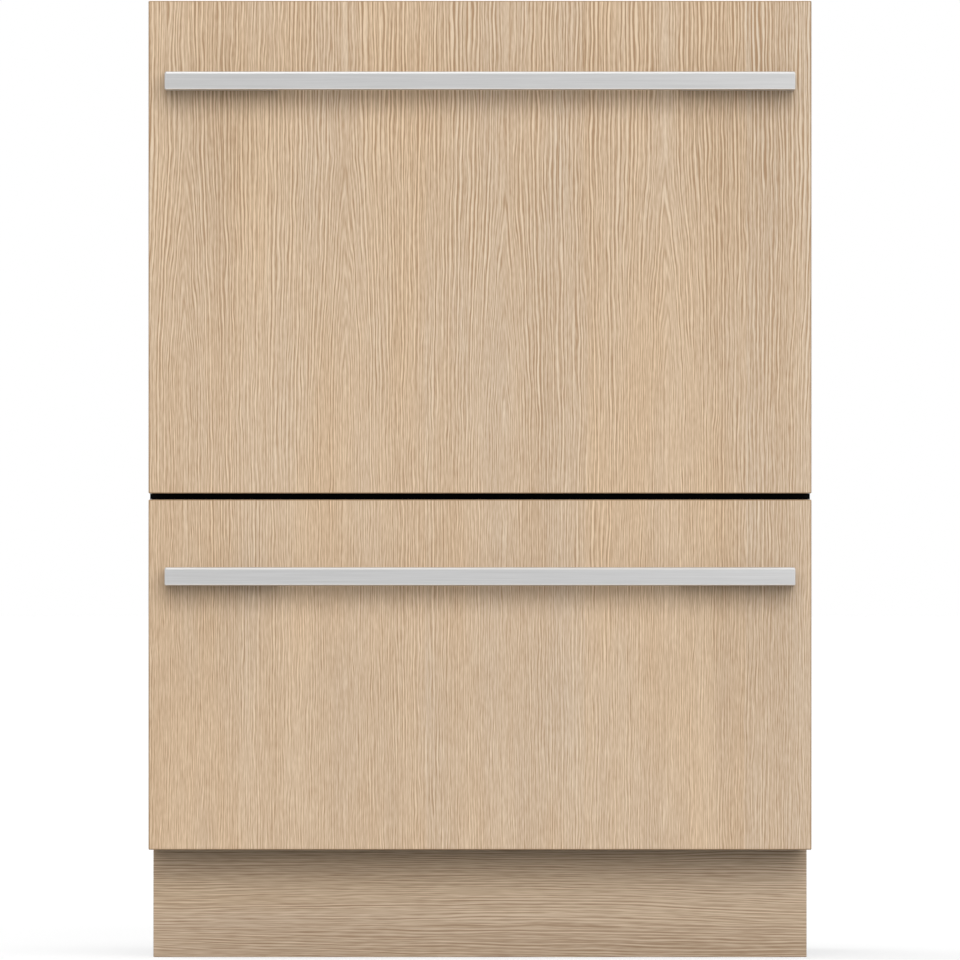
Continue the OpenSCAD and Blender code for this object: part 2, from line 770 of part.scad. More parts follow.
// Spray arm: two tapered blades with nozzles on a hub, and the shaft that drives it
module spray_arm(level) {
    z0 = floor_z(level) + spray_lift;
    blade_z = z0 + 5;
    tip_x = spray_r - blade_tip_w / 2;
    color("gainsboro") translate([0, tub_mid_y, 0]) difference() {
        union() {
            bar_z([0, 0, z0], hub_r, spray_hub_h);
            bar_z([0, 0, z0 - shaft_drop], shaft_r, shaft_drop + 1);
            for (turn = [0, 180])
                rotate([0, 0, turn]) {
                    prism(round_bar(tip_x, blade_root_w / 2, blade_tip_w / 2), blade_z, blade_z + blade_h);
                    for (r = [0.35, 0.6, 0.85])
                        bar_z([-r * tip_x, 0, blade_z + blade_h - 1], 5, 3.5);
                }
        }
        for (turn = [0, 180])
            rotate([0, 0, turn]) for (r = [0.35, 0.6, 0.85])
                bar_z([-r * tip_x, 0, blade_z + blade_h - 3], 1.6, 10);
    }
}

// Perforated plate over the sump, with the drain filter's cup
module filter(level) {
    z0 = floor_z(level);
    color("darkgray") translate([0, tub_mid_y, 0]) difference() {
        union() {
            bar_z([0, 0, z0], filter_r, filter_t);
            bar_z([0, filter_cup_y, z0 - 10], filter_cup_r, filter_t + 12);
        }
        bar_z([0, 0, z0 - 1], neck_r, filter_t + 2);
        bar_z([0, filter_cup_y, z0 - 8], filter_cup_r - 2, 20);
        for (ring = [[46, 16], [70, 24], [110, 36]])
            for (i = [0:ring[1] - 1])
                if (abs(360 * (i + 0.5) / ring[1] - 270) > 24 || ring[0] < 50)
                    rotate([0, 0, 360 * (i + 0.5) / ring[1]]) translate([ring[0], 0, z0 - 1])
                        cylinder(r = 3, h = filter_t + 2, $fn = 6);
    }
}

// ---------------------------------------------------------------- racks

// Six-sided wires from a point along each axis
module wire_x(start, l) {
    translate(start) rotate([0, 90, 0]) cylinder(r = wire_r, h = l, $fn = 6);
}
module wire_y(start, l) {
    translate(start) rotate([-90, 0, 0]) cylinder(r = wire_r, h = l, $fn = 6);
}
module wire_z(start, l) {
    translate(start) cylinder(r = wire_r, h = l, $fn = 6);
}

// Ear with the bearing for one end of the cup rack's axle
module cup_rack_ear(level, y) {
    z = rack_z(level) + cup_axis_rise;
    difference() {
        block([-rack_x, y - 3, z - 6], [cup_axis_x + 5, y + 3, z + 6]);
        bar_y([cup_axis_x, y - 4, z], wire_r + bore_gap, 8);
    }
}

// Place of each wire across the rack and along it
function wire_at_x(i) = -rack_x + 2 * rack_x * i / wires_x;
function wire_at_y(i) = rack_front_y + (rack_back_y - rack_front_y) * i / wires_y;

// Floor of the rack: wires both ways, ending on the mats round it
module floor_mat(z) {
    for (i = [1:wires_x - 1])
        wire_y([wire_at_x(i), rack_front_y + mat_butt, z], rack_back_y - rack_front_y - 2 * mat_butt);
    for (i = [1:wires_y - 1])
        wire_x([-rack_x + mat_butt, wire_at_y(i), z], 2 * (rack_x - mat_butt));
}

// Mat standing along Y at one side of the rack, from the tub's floor up, with a leg at each end
module side_mat(level, x) {
    z = rack_z(level);
    for (rise = [0, cup_axis_rise, rack_h(level)])
        wire_y([x, rack_front_y, z + rise], rack_back_y - rack_front_y);
    for (i = [0:wires_y])
        wire_z([x, wire_at_y(i), z], rack_h(level));
    for (y = [rack_front_y, rack_back_y])
        wire_z([x, y, floor_z(level)], rack_lift);
}

// Mat standing across X: level wires at each rise and an upright at each wire from first to last
module end_mat(z, y, x0, x1, first, last, rises) {
    for (rise = rises)
        wire_x([x0, y, z + rise], x1 - x0);
    for (i = [first:last])
        wire_z([wire_at_x(i), y, z], max(rises));
}

// Combs of tines for the plates, clipped on the floor wires
module tine_combs(z) {
    half = tine_reach + tine_end;
    for (row = tine_xs) {
        wire_y([row * wire_pitch, tub_mid_y - half, z], 2 * half);
        for (k = [-4:4])
            wire_z([row * wire_pitch, tub_mid_y + k * tine_pitch, z], tine_h - 2 * wire_r);
    }
}

// Wire rack: a floor mat between two sides, a back and a front that is low before the dispenser,
// the tines, and the ears of the cup rack
module rack(level) {
    z = rack_z(level);
    rises = [0, cup_axis_rise, rack_h(level)];
    left = wire_at_x(high_wires);
    right = wire_at_x(wires_x - high_wires);
    end_x = rack_x - mat_butt;
    color("steelblue") {
        floor_mat(z);
        for (x = [-rack_x, rack_x])
            side_mat(level, x);
        end_mat(z, rack_back_y, -end_x, end_x, 1, wires_x - 1, rises);
        end_mat(z, rack_front_y, -end_x, left, 1, high_wires, rises);
        end_mat(z, rack_front_y, right, end_x, wires_x - high_wires, wires_x - 1, rises);
        end_mat(z, rack_front_y, left + mat_butt, right - mat_butt, high_wires + 1, wires_x - high_wires - 1,
                [0, rack_dip_h]);
        tine_combs(z + 2 * wire_r);
        for (y = [cup_rack_y + 6, cup_rack_y + cup_rack_l - 6])
            cup_rack_ear(level, y);
    }
}

// Fold-down cup rack, standing folded up against the rack's left side
module cup_rack(level) {
    bars = 6;
    color("steelblue") translate([cup_axis_x, cup_rack_y, rack_z(level) + cup_axis_rise]) {
        bar_y([0, 0, 0], wire_r, cup_rack_l);
        rotate([0, -cup_lean, 0]) {
            wire_y([0, 14, cup_rack_w], cup_rack_l - 28);
            for (i = [0:bars])
                wire_z([0, 14 + (cup_rack_l - 28) * i / bars, 0], cup_rack_w);
        }
    }
}

// Cutlery basket with slotted sides
module cutlery_basket(level) {
    z = rack_z(level) + wire_r + run_gap;
    w = basket_wall;
    color("lightsteelblue") translate([basket_x, basket_y, z]) difference() {
        block([0, 0, 0], [basket_w, basket_l, basket_h]);
        block([w, w, w], [basket_w - w, basket_l - w, basket_h + 1]);
        for (k = [1:7])
            block([-1, basket_l * k / 8 - 6, 14], [basket_w + 1, basket_l * k / 8 + 6, basket_h - 20]);
    }
}

// ---------------------------------------------------------------- detergent dispenser

// Stations of the dispenser, from its lower left-hand corner
cup_x0 = 16;
cup_x1 = 86;
cup_z0 = 10;
cup_z1 = 52;
rail_z0 = 6;
rail_z1 = 56;

// Housing in the tub's front wall: detergent cup, rails for its door and the rinse-aid cap
module dispenser(level) {
    y0 = tub_front_y + tub_wall;
    y1 = y0 + dispenser_d;
    lip_y = y1 + door_t + 2 * run_gap;
    color("whitesmoke") translate([-dispenser_w / 2, 0, dispenser_z(level)]) difference() {
        union() {
            block([0, y0, 0], [dispenser_w, y1, dispenser_h]);
            block([2, y1 - 1, rail_z0 - 4], [dispenser_w - 2, lip_y + 1.5, rail_z0]);
            block([2, lip_y, rail_z0 - 4], [dispenser_w - 2, lip_y + 1.5, rail_z0 + 2.5]);
            block([2, y1 - 1, rail_z1], [dispenser_w - 2, lip_y + 1.5, rail_z1 + 4]);
            block([2, lip_y, rail_z1 - 2.5], [dispenser_w - 2, lip_y + 1.5, rail_z1 + 4]);
            bar_y([dispenser_w - 40, y1 - 1, dispenser_h - 12], 9.5, 5);
        }
        block([cup_x0, y0 + 4, cup_z0], [cup_x1, y1 + 1, cup_z1]);
    }
}

// Sliding door of the detergent cup
module dispenser_door(level) {
    y = tub_front_y + tub_wall + dispenser_d + run_gap;
    color("lightslategray") translate([-dispenser_w / 2, 0, dispenser_z(level)]) {
        block([cup_x0 - 4, y, rail_z0 + run_gap], [cup_x1 + 4, y + door_t, rail_z1 - run_gap]);
        block([cup_x1 - 10, y + 1, cup_z0 + 6], [cup_x1 - 4, y + door_t + 3, cup_z1 - 6]);
    }
}

// ---------------------------------------------------------------- lids

// Rounded plan of the lid, shrunk by g
function lid_plan(g) = rounded(-lid_x + g, lid_x - g, lid_front_y + g, lid_back_y - g, tub_r + 4 - g);

// Lid with a hollow underside, and the four pins that its yokes lift
module lid(level) {
    z = lid_z(level);
    color("whitesmoke") {
        difference() {
            prism(lid_plan(0), z, z + lid_t);
            prism(lid_plan(lid_edge_w), z - 1, z + lid_t - lid_skin);
        }
        both_sides() for (y = pin_ys)
            bar_x([lid_x - 8, y, z + lid_t / 2], lid_pin_r, yoke_x + yoke_t + 1 - lid_x + 8);
    }
}

// Rubber gasket under the lid's edge
module lid_gasket(level) {
    z = lid_z(level);
    color("dimgray") difference() {
        prism(lid_plan(2), z - gasket_h, z);
        prism(lid_plan(2 + gasket_w), z - gasket_h - 1, z + 1);
    }
}

// Slot that a lid pin climbs as its yoke goes back, as a cut in the yoke
module yoke_slot(y, z) {
    r = lid_pin_r + run_gap;
    run = norm([yoke_travel, lid_lift]);
    tilt = atan2(lid_lift, -yoke_travel);
    translate([yoke_x, y, z]) rotate([tilt, 0, 0]) {
        bar_x([-1, 0, 0], r, yoke_t + 2);
        bar_x([-1, run, 0], r, yoke_t + 2);
        block([-1, 0, -r], [yoke_t + 1, run, r]);
    }
}

// Yokes that lift one lid, each with two slots and the plunger of its actuator
module lid_yokes(level) {
    pin_z = lid_z(level) + lid_t / 2;
    z0 = pin_z - yoke_margin;
    z1 = pin_z + lid_lift + yoke_margin;
    color("silver") both_sides() {
        difference() {
            block([yoke_x, yoke_front_y, z0], [yoke_x + yoke_t, yoke_back_y, z1]);
            for (y = pin_ys)
                yoke_slot(y, pin_z);
        }
        block([yoke_x, yoke_back_y - yoke_t, z0 + yoke_t], [plunger_x + plunger_r + 0.5, yoke_back_y, z1 - yoke_t]);
        bar_y([plunger_x, yoke_back_y - 1, (z0 + z1) / 2], plunger_r, plunger_l + 1);
    }
}

// Guides and actuator housings of the yokes, fixed to the chassis sides
module lid_actuators() {
    housing_y = yoke_back_y + yoke_travel + 3;
    bore_l = plunger_l - 2;
    color("dimgray") both_sides() for (level = [LOWER, UPPER]) {
        pin_z = lid_z(level) + lid_t / 2;
        z0 = pin_z - yoke_margin - run_gap;
        z1 = pin_z + lid_lift + yoke_margin + run_gap;
        for (y = guide_ys) {
            block([yoke_x + yoke_t + run_gap, y, z0 - guide_t], [side_inner_x, y + guide_l, z1 + guide_t]);
            block([yoke_x, y, z0 - guide_t], [side_inner_x, y + guide_l, z0]);
            block([yoke_x, y, z1], [side_inner_x, y + guide_l, z1 + guide_t]);
        }
        difference() {
            block([yoke_x - 1, housing_y, z0], [side_inner_x, housing_y + plunger_l + 16, z1]);
            bar_y([plunger_x, housing_y - 1, (z0 + z1) / 2], plunger_r + run_gap, bore_l + 4);
        }
    }
}

// ---------------------------------------------------------------- links

// Link arm along -X from its pivot: a channel with round ends, floor at the bottom
module link_arm() {
    r = link_w / 2;
    inner = r - link_wall;
    difference() {
        prism(round_bar(link_l, r, r), 0, link_h);
        block([-link_l + r + 4, -inner, link_wall], [-r - 4, inner, link_h + 1]);
        bar_z([0, 0, -1], pivot_r + bore_gap, link_h + 2);
    }
}

// Rear arm, which turns on the chassis
module link_rear(level) {
    color("gray") translate([link_pivot_x, link_y, link_z(level) - link_split - link_h]) link_arm();
}

// Front arm, which turns on the tub, open side down
module link_front(level) {
    color("gray") translate([link_pivot_x, link_y, link_z(level) + link_split + link_h])
        mirror([0, 0, 1]) link_arm();
}

// ---------------------------------------------------------------- nodes

chassis_wrap();
chassis_roof();
base_tray();
front_brace();
plinth_board();
runner_outer_channels();
lid_actuators();
inlet_valve();
drain_outlet();
mains_terminal();
foot(0);  // foot_front_left
foot(1);  // foot_front_right
foot(2);  // foot_rear_left
foot(3);  // foot_rear_right

front_panel(UPPER);  // upper_front_panel
handle(UPPER);  // upper_handle
front_frame(UPPER);  // upper_front_frame
control_strip(UPPER);  // upper_control_strip
button(UPPER, 0);  // upper_power_button
button(UPPER, 1);  // upper_program_button
button(UPPER, 2);  // upper_start_button
tub(UPPER);  // upper_tub
wash_pump(UPPER);  // upper_wash_pump
spray_arm(UPPER);  // upper_spray_arm
filter(UPPER);  // upper_filter
rack(UPPER);  // upper_rack
cup_rack(UPPER);  // upper_cup_rack
cutlery_basket(UPPER);  // upper_cutlery_basket
dispenser(UPPER);  // upper_dispenser
dispenser_door(UPPER);  // upper_dispenser_door
runner_inners(UPPER);  // upper_runner_inners
runner_middles(UPPER);  // upper_runner_middles
lid(UPPER);  // upper_lid
lid_gasket(UPPER);  // upper_lid_gasket
lid_yokes(UPPER);  // upper_lid_yokes
link_rear(UPPER);  // upper_link_rear
link_front(UPPER);  // upper_link_front

front_panel(LOWER);  // lower_front_panel
handle(LOWER);  // lower_handle
front_frame(LOWER);  // lower_front_frame
control_strip(LOWER);  // lower_control_strip
button(LOWER, 0);  // lower_power_button
button(LOWER, 1);  // lower_program_button
button(LOWER, 2);  // lower_start_button
tub(LOWER);  // lower_tub
wash_pump(LOWER);  // lower_wash_pump
spray_arm(LOWER);  // lower_spray_arm
filter(LOWER);  // lower_filter
rack(LOWER);  // lower_rack
cup_rack(LOWER);  // lower_cup_rack
cutlery_basket(LOWER);  // lower_cutlery_basket
dispenser(LOWER);  // lower_dispenser
dispenser_door(LOWER);  // lower_dispenser_door
runner_inners(LOWER);  // lower_runner_inners
runner_middles(LOWER);  // lower_runner_middles
lid(LOWER);  // lower_lid
lid_gasket(LOWER);  // lower_lid_gasket
lid_yokes(LOWER);  // lower_lid_yokes
link_rear(LOWER);  // lower_link_rear
link_front(LOWER);  // lower_link_front
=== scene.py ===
"""Built-in double dishwasher drawer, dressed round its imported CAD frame.

Two oak-veneered drawer fronts with long flat pulls stand over a recessed plinth board.
Metres; +X is to the right as the fronts are faced, +Y goes to the back, and the floor is z = 0.
"""
import json
import math

import bmesh
import bpy
import numpy as np
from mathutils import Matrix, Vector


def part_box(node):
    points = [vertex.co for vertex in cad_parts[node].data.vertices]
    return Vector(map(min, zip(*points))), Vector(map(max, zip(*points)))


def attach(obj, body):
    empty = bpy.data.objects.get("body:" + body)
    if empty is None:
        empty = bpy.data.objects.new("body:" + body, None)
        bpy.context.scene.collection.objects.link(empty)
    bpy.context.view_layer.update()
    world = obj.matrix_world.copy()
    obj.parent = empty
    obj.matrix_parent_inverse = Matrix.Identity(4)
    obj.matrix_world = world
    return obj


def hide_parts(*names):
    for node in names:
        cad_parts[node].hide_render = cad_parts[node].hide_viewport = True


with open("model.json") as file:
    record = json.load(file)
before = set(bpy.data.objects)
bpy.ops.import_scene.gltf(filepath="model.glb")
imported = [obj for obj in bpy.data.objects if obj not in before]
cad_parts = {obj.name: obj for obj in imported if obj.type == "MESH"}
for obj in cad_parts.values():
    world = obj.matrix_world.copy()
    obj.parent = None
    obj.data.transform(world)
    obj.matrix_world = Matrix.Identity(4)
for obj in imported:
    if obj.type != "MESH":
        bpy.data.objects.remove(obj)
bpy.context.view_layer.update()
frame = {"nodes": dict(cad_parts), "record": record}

MM = 0.001
LEVELS = ("upper", "lower")
ORDER = {"x": (2, 0, 1), "y": (0, 2, 1), "z": (0, 1, 2)}    # where an outline's u, v and its length go


# ---------------------------------------------------------------- materials

def rgb(code):
    """Linear colour of an sRGB hex value."""
    srgb = np.array([int(code[k:k + 2], 16) for k in (0, 2, 4)]) / 255
    return (*np.where(srgb <= 0.04045, srgb / 12.92, ((srgb + 0.055) / 1.055) ** 2.4), 1.0)


def add(tree, kind, sockets=(), out=0, **settings):
    """Adds a node with its settings, and sets or links its sockets; gives the output asked for."""
    node = tree.nodes.new("ShaderNode" + kind)
    for key, value in settings.items():
        setattr(node, key, value)
    for key, value in (sockets.items() if isinstance(sockets, dict) else enumerate(sockets)):
        if isinstance(value, bpy.types.NodeSocket):
            tree.links.new(value, node.inputs[key])
        elif value is not None:
            node.inputs[key].default_value = value
    return node.outputs[out] if len(node.outputs) else node


def finish(name, make):
    """New material: make(tree) gives its surface shader."""
    material = bpy.data.materials.new(name)
    material.use_nodes = True
    tree = material.node_tree
    tree.nodes.clear()
    add(tree, "OutputMaterial", {"Surface": make(tree)})
    return material


FACE_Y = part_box("upper_front_panel")[0][1]
SLANT = 0.4             # how far the rings lean sideways through the thickness of a board
WAVER = 4 * MM          # by which slow noise moves a line sideways
LEAF_MIDDLE = 23.2 * MM
ARCH_TOP, ARCH_PITCH, ARCHES = 735 * MM, 39 * MM, 5.0
ARCH_EASE = 2 * MM      # half the width of an arch's rounded tip
LEAF_SHIFT = 70 * MM    # the most by which a leaf's arches begin lower than ARCH_TOP


def oak(tree, pale, dark, along, leaf, ring, contrast, sway=9 * MM, broad=0.4, drawn=1.0):
    """Crown-cut oak: a ring line is where a / ring - C (1 - a / (leaf / 2))^2 is a whole number.

    a is the distance across the grain from the middle of a veneer leaf, eased to sqrt(dx^2 + ARCH_EASE^2),
    and C counts the arches closed above this height: one each ARCH_PITCH, from a place at or below ARCH_TOP
    that each leaf draws for itself. So the rings run straight at a leaf's edge and close in narrow arches on
    its centre line. Finer lines keep to the rings, and streaks and pores are noise drawn out along the
    grain, drawn times. The tint goes from the first pale colour to the second, by leaf and by slow noise.
    """
    place = add(tree, "TexCoord", out="Object")
    x, y, z = (add(tree, "SeparateXYZ", (place,), out=k) for k in "XYZ")
    across, up = (x, z) if along == "z" else (z, x)
    inside = add(tree, "Math", (y, FACE_Y), operation="SUBTRACT")
    across = add(tree, "Math", (inside, SLANT, across), operation="MULTIPLY_ADD")
    grain = add(tree, "CombineXYZ", (across, y, up))

    def noise(wide, long, detail=0.0):
        """Noise with cells of wide by long millimetres across and along the grain, about zero."""
        cell = wide * MM, wide * MM, long * drawn * MM
        scaled = add(tree, "Mapping", {"Vector": grain, "Scale": tuple(1 / size for size in cell)})
        value = add(tree, "TexNoise", {"Vector": scaled, "Scale": 1.0, "Detail": detail})
        return add(tree, "Math", (value, 0.5), operation="SUBTRACT")

    def waves(pitch, phase, turns, share):
        """Lines a pitch apart that keep to the rings: share * sin(2 pi rings ring / pitch + turns phase)."""
        angle = add(tree, "Math", (rings, math.tau * ring / pitch), operation="MULTIPLY")
        angle = add(tree, "Math", (phase, turns, angle), operation="MULTIPLY_ADD")
        line = add(tree, "Math", (angle,), operation="SINE")
        return add(tree, "Math", (line, share), operation="MULTIPLY")

    # Place in the leaf: turn counts leaves, dx is from a leaf's middle
    line_x = add(tree, "Math", (noise(110, 380, 1.0), sway, across), operation="MULTIPLY_ADD")
    line_x = add(tree, "Math", (noise(9, 42, 1.0), WAVER, line_x), operation="MULTIPLY_ADD")
    turn = add(tree, "Math", (line_x, 1 / leaf, 0.5 - LEAF_MIDDLE / leaf), operation="MULTIPLY_ADD")
    part = add(tree, "Math", (turn,), operation="FRACT")
    dx = add(tree, "Math", (part, leaf, -leaf / 2), operation="MULTIPLY_ADD")
    away = add(tree, "Math", (dx, dx, ARCH_EASE ** 2), operation="MULTIPLY_ADD")
    away = add(tree, "Math", (away,), operation="SQRT")
    number = add(tree, "Math", (turn,), operation="FLOOR")
    chance = add(tree, "TexWhiteNoise", {"W": number}, noise_dimensions="1D")

    # The rings with their arches
    begin = add(tree, "Math", (chance, LEAF_SHIFT, up), operation="MULTIPLY_ADD")
    closed = add(tree, "MapRange", (begin, ARCH_TOP, ARCH_TOP - ARCHES * ARCH_PITCH, 0.0, ARCHES))
    inner = add(tree, "Math", (away, -2 / leaf, 1.0), operation="MULTIPLY_ADD")
    shut = add(tree, "Math", (inner, inner), operation="MULTIPLY")
    shut = add(tree, "Math", (shut, closed), operation="MULTIPLY")
    rings = add(tree, "Math", (away, 1 / ring), operation="MULTIPLY")
    rings = add(tree, "Math", (rings, shut), operation="SUBTRACT")

    # How bold the lines are: less on the centre line, in patches, and more with height
    plain = add(tree, "MapRange", (away, 0.0, 18 * MM, 0.25, 1.0))
    patch = add(tree, "MapRange", (noise(14, 150), -0.2, 0.2, 0.4, 1.4))
    patch = add(tree, "Math", (patch, plain), operation="MULTIPLY")
    bold = add(tree, "MapRange", (up, 0.25, 0.85, 0.25, 1.0))
    bold = add(tree, "Math", (bold, patch), operation="MULTIPLY")
    calm = add(tree, "MapRange", (away, 0.0, 7 * MM, 0.4, 1.0))
    faint = add(tree, "MapRange", (up, 0.1, 0.8, 0.65, 1.0))
    faint = add(tree, "Math", (faint, calm), operation="MULTIPLY")

    tone = 0.5
    for value, share in ((waves(ring, noise(30, 160), 2.5, bold), 0.33),
                         (waves(5.2 * MM, noise(12, 110), 6.0, bold), 0.16),
                         (waves(2.2 * MM, noise(5, 50), 8.0, faint), 0.22),
                         (waves(3.0 * MM, noise(7, 80), 8.0, faint), 0.20),
                         (noise(1.1, 22), 0.45), (noise(0.8, 7), 0.5), (noise(28, 600, 2.0), broad)):
        tone = add(tree, "Math", (value, share * contrast, tone), operation="MULTIPLY_ADD")
    tone = add(tree, "Clamp", (tone,))
    warm = add(tree, "MapRange", (noise(45, 320, 2.0), -0.25, 0.25, -0.3, 0.7))
    warm = add(tree, "Math", (chance, 0.6, warm), operation="MULTIPLY_ADD", use_clamp=True)
    light = add(tree, "Mix", {0: warm, 6: rgb(pale[0]), 7: rgb(pale[1])}, out=2, data_type="RGBA")
    colour = add(tree, "Mix", {0: tone, 6: light, 7: rgb(dark)}, out=2, data_type="RGBA")
    relief = add(tree, "Bump", {"Height": tone, "Strength": 0.2, "Distance": 0.05 * MM}, invert=True)
    rough = add(tree, "MapRange", (tone, 0.0, 1.0, 0.48, 0.62))
    return add(tree, "BsdfPrincipled", {"Base Color": colour, "Roughness": rough, "Normal": relief,
                                        "IOR": 1.5, "Specular IOR Level": 0.3})


def toned(tree, colour, value, low, high, darkest, lightest):
    """Colour times a shade, which goes from darkest to lightest as the value goes from low to high."""
    shade = add(tree, "MapRange", (value, low, high, darkest, lightest))
    return add(tree, "Mix", {0: 1.0, 6: rgb(colour), 7: shade}, out=2, data_type="RGBA",
               blend_type="MULTIPLY")


def moulded(tree, colour, rough, grain, depth, mottle=0.05, specular=0.5):
    """Moulded or painted skin: noise lifts it, and slow noise clouds its tone and gloss.

    The grain's size and depth are real ones, in millimetres.
    """
    place = add(tree, "TexCoord", out="Object")
    cloud = add(tree, "TexNoise", {"Vector": place, "Scale": 22.0, "Detail": 3.0})
    skin = add(tree, "TexNoise", {"Vector": place, "Scale": 1 / (grain * MM), "Detail": 2.0})
    return add(tree, "BsdfPrincipled", {
        "Base Color": toned(tree, colour, cloud, 0.3, 0.7, 1 - mottle, 1 + mottle),
        "Specular IOR Level": specular,
        "Roughness": add(tree, "MapRange", (cloud, 0.3, 0.7, rough - 0.05, rough + 0.05)),
        "Normal": add(tree, "Bump", {"Height": skin, "Strength": 0.5, "Distance": depth * MM})})


def metal(tree, colour, rough, stretch, fine, depth, spread=0.06, metallic=1.0):
    """Worked metal: noise stretched along the way it was rolled, drawn or brushed sets tone and gloss.

    Each axis of the noise is scaled by stretch; fine and depth are its lines' width and depth in millimetres.
    """
    place = add(tree, "TexCoord", out="Object")
    line = add(tree, "TexNoise", {"Vector": add(tree, "Mapping", {"Vector": place, "Scale": stretch}),
                                  "Scale": 1 / (fine * MM), "Detail": 3.0, "Roughness": 0.65})
    cloud = add(tree, "TexNoise", {"Vector": place, "Scale": 9.0, "Detail": 2.0})
    gloss = add(tree, "MapRange", (line, 0.25, 0.75, rough - 0.06, rough + 0.06))
    gloss = add(tree, "Math", (cloud, 0.08, gloss), operation="MULTIPLY_ADD")
    return add(tree, "BsdfPrincipled", {
        "Base Color": toned(tree, colour, line, 0.25, 0.75, 1 - spread, 1 + spread),
        "Metallic": metallic, "Roughness": gloss,
        "Normal": add(tree, "Bump", {"Height": line, "Strength": 0.35, "Distance": depth * MM})})


def spangled(tree, colour, rough):
    """Hot-dip zinc: a Voronoi cell for each crystal, each with its own tone and gloss."""
    place = add(tree, "TexCoord", out="Object")
    jitter = add(tree, "TexNoise", {"Vector": place, "Scale": 180.0, "Detail": 2.0}, out="Color")
    warped = add(tree, "Mix", {0: 0.0022, 6: place, 7: jitter}, out=2, data_type="RGBA")
    cell = add(tree, "TexVoronoi", {"Vector": warped, "Scale": 1 / (11 * MM)}, out="Color")
    value = add(tree, "SeparateXYZ", (cell,), out="X")
    return add(tree, "BsdfPrincipled", {
        "Base Color": toned(tree, colour, value, 0.0, 1.0, 0.90, 1.06), "Metallic": 1.0,
        "Roughness": add(tree, "MapRange", (value, 0.0, 1.0, rough - 0.08, rough + 0.10))})


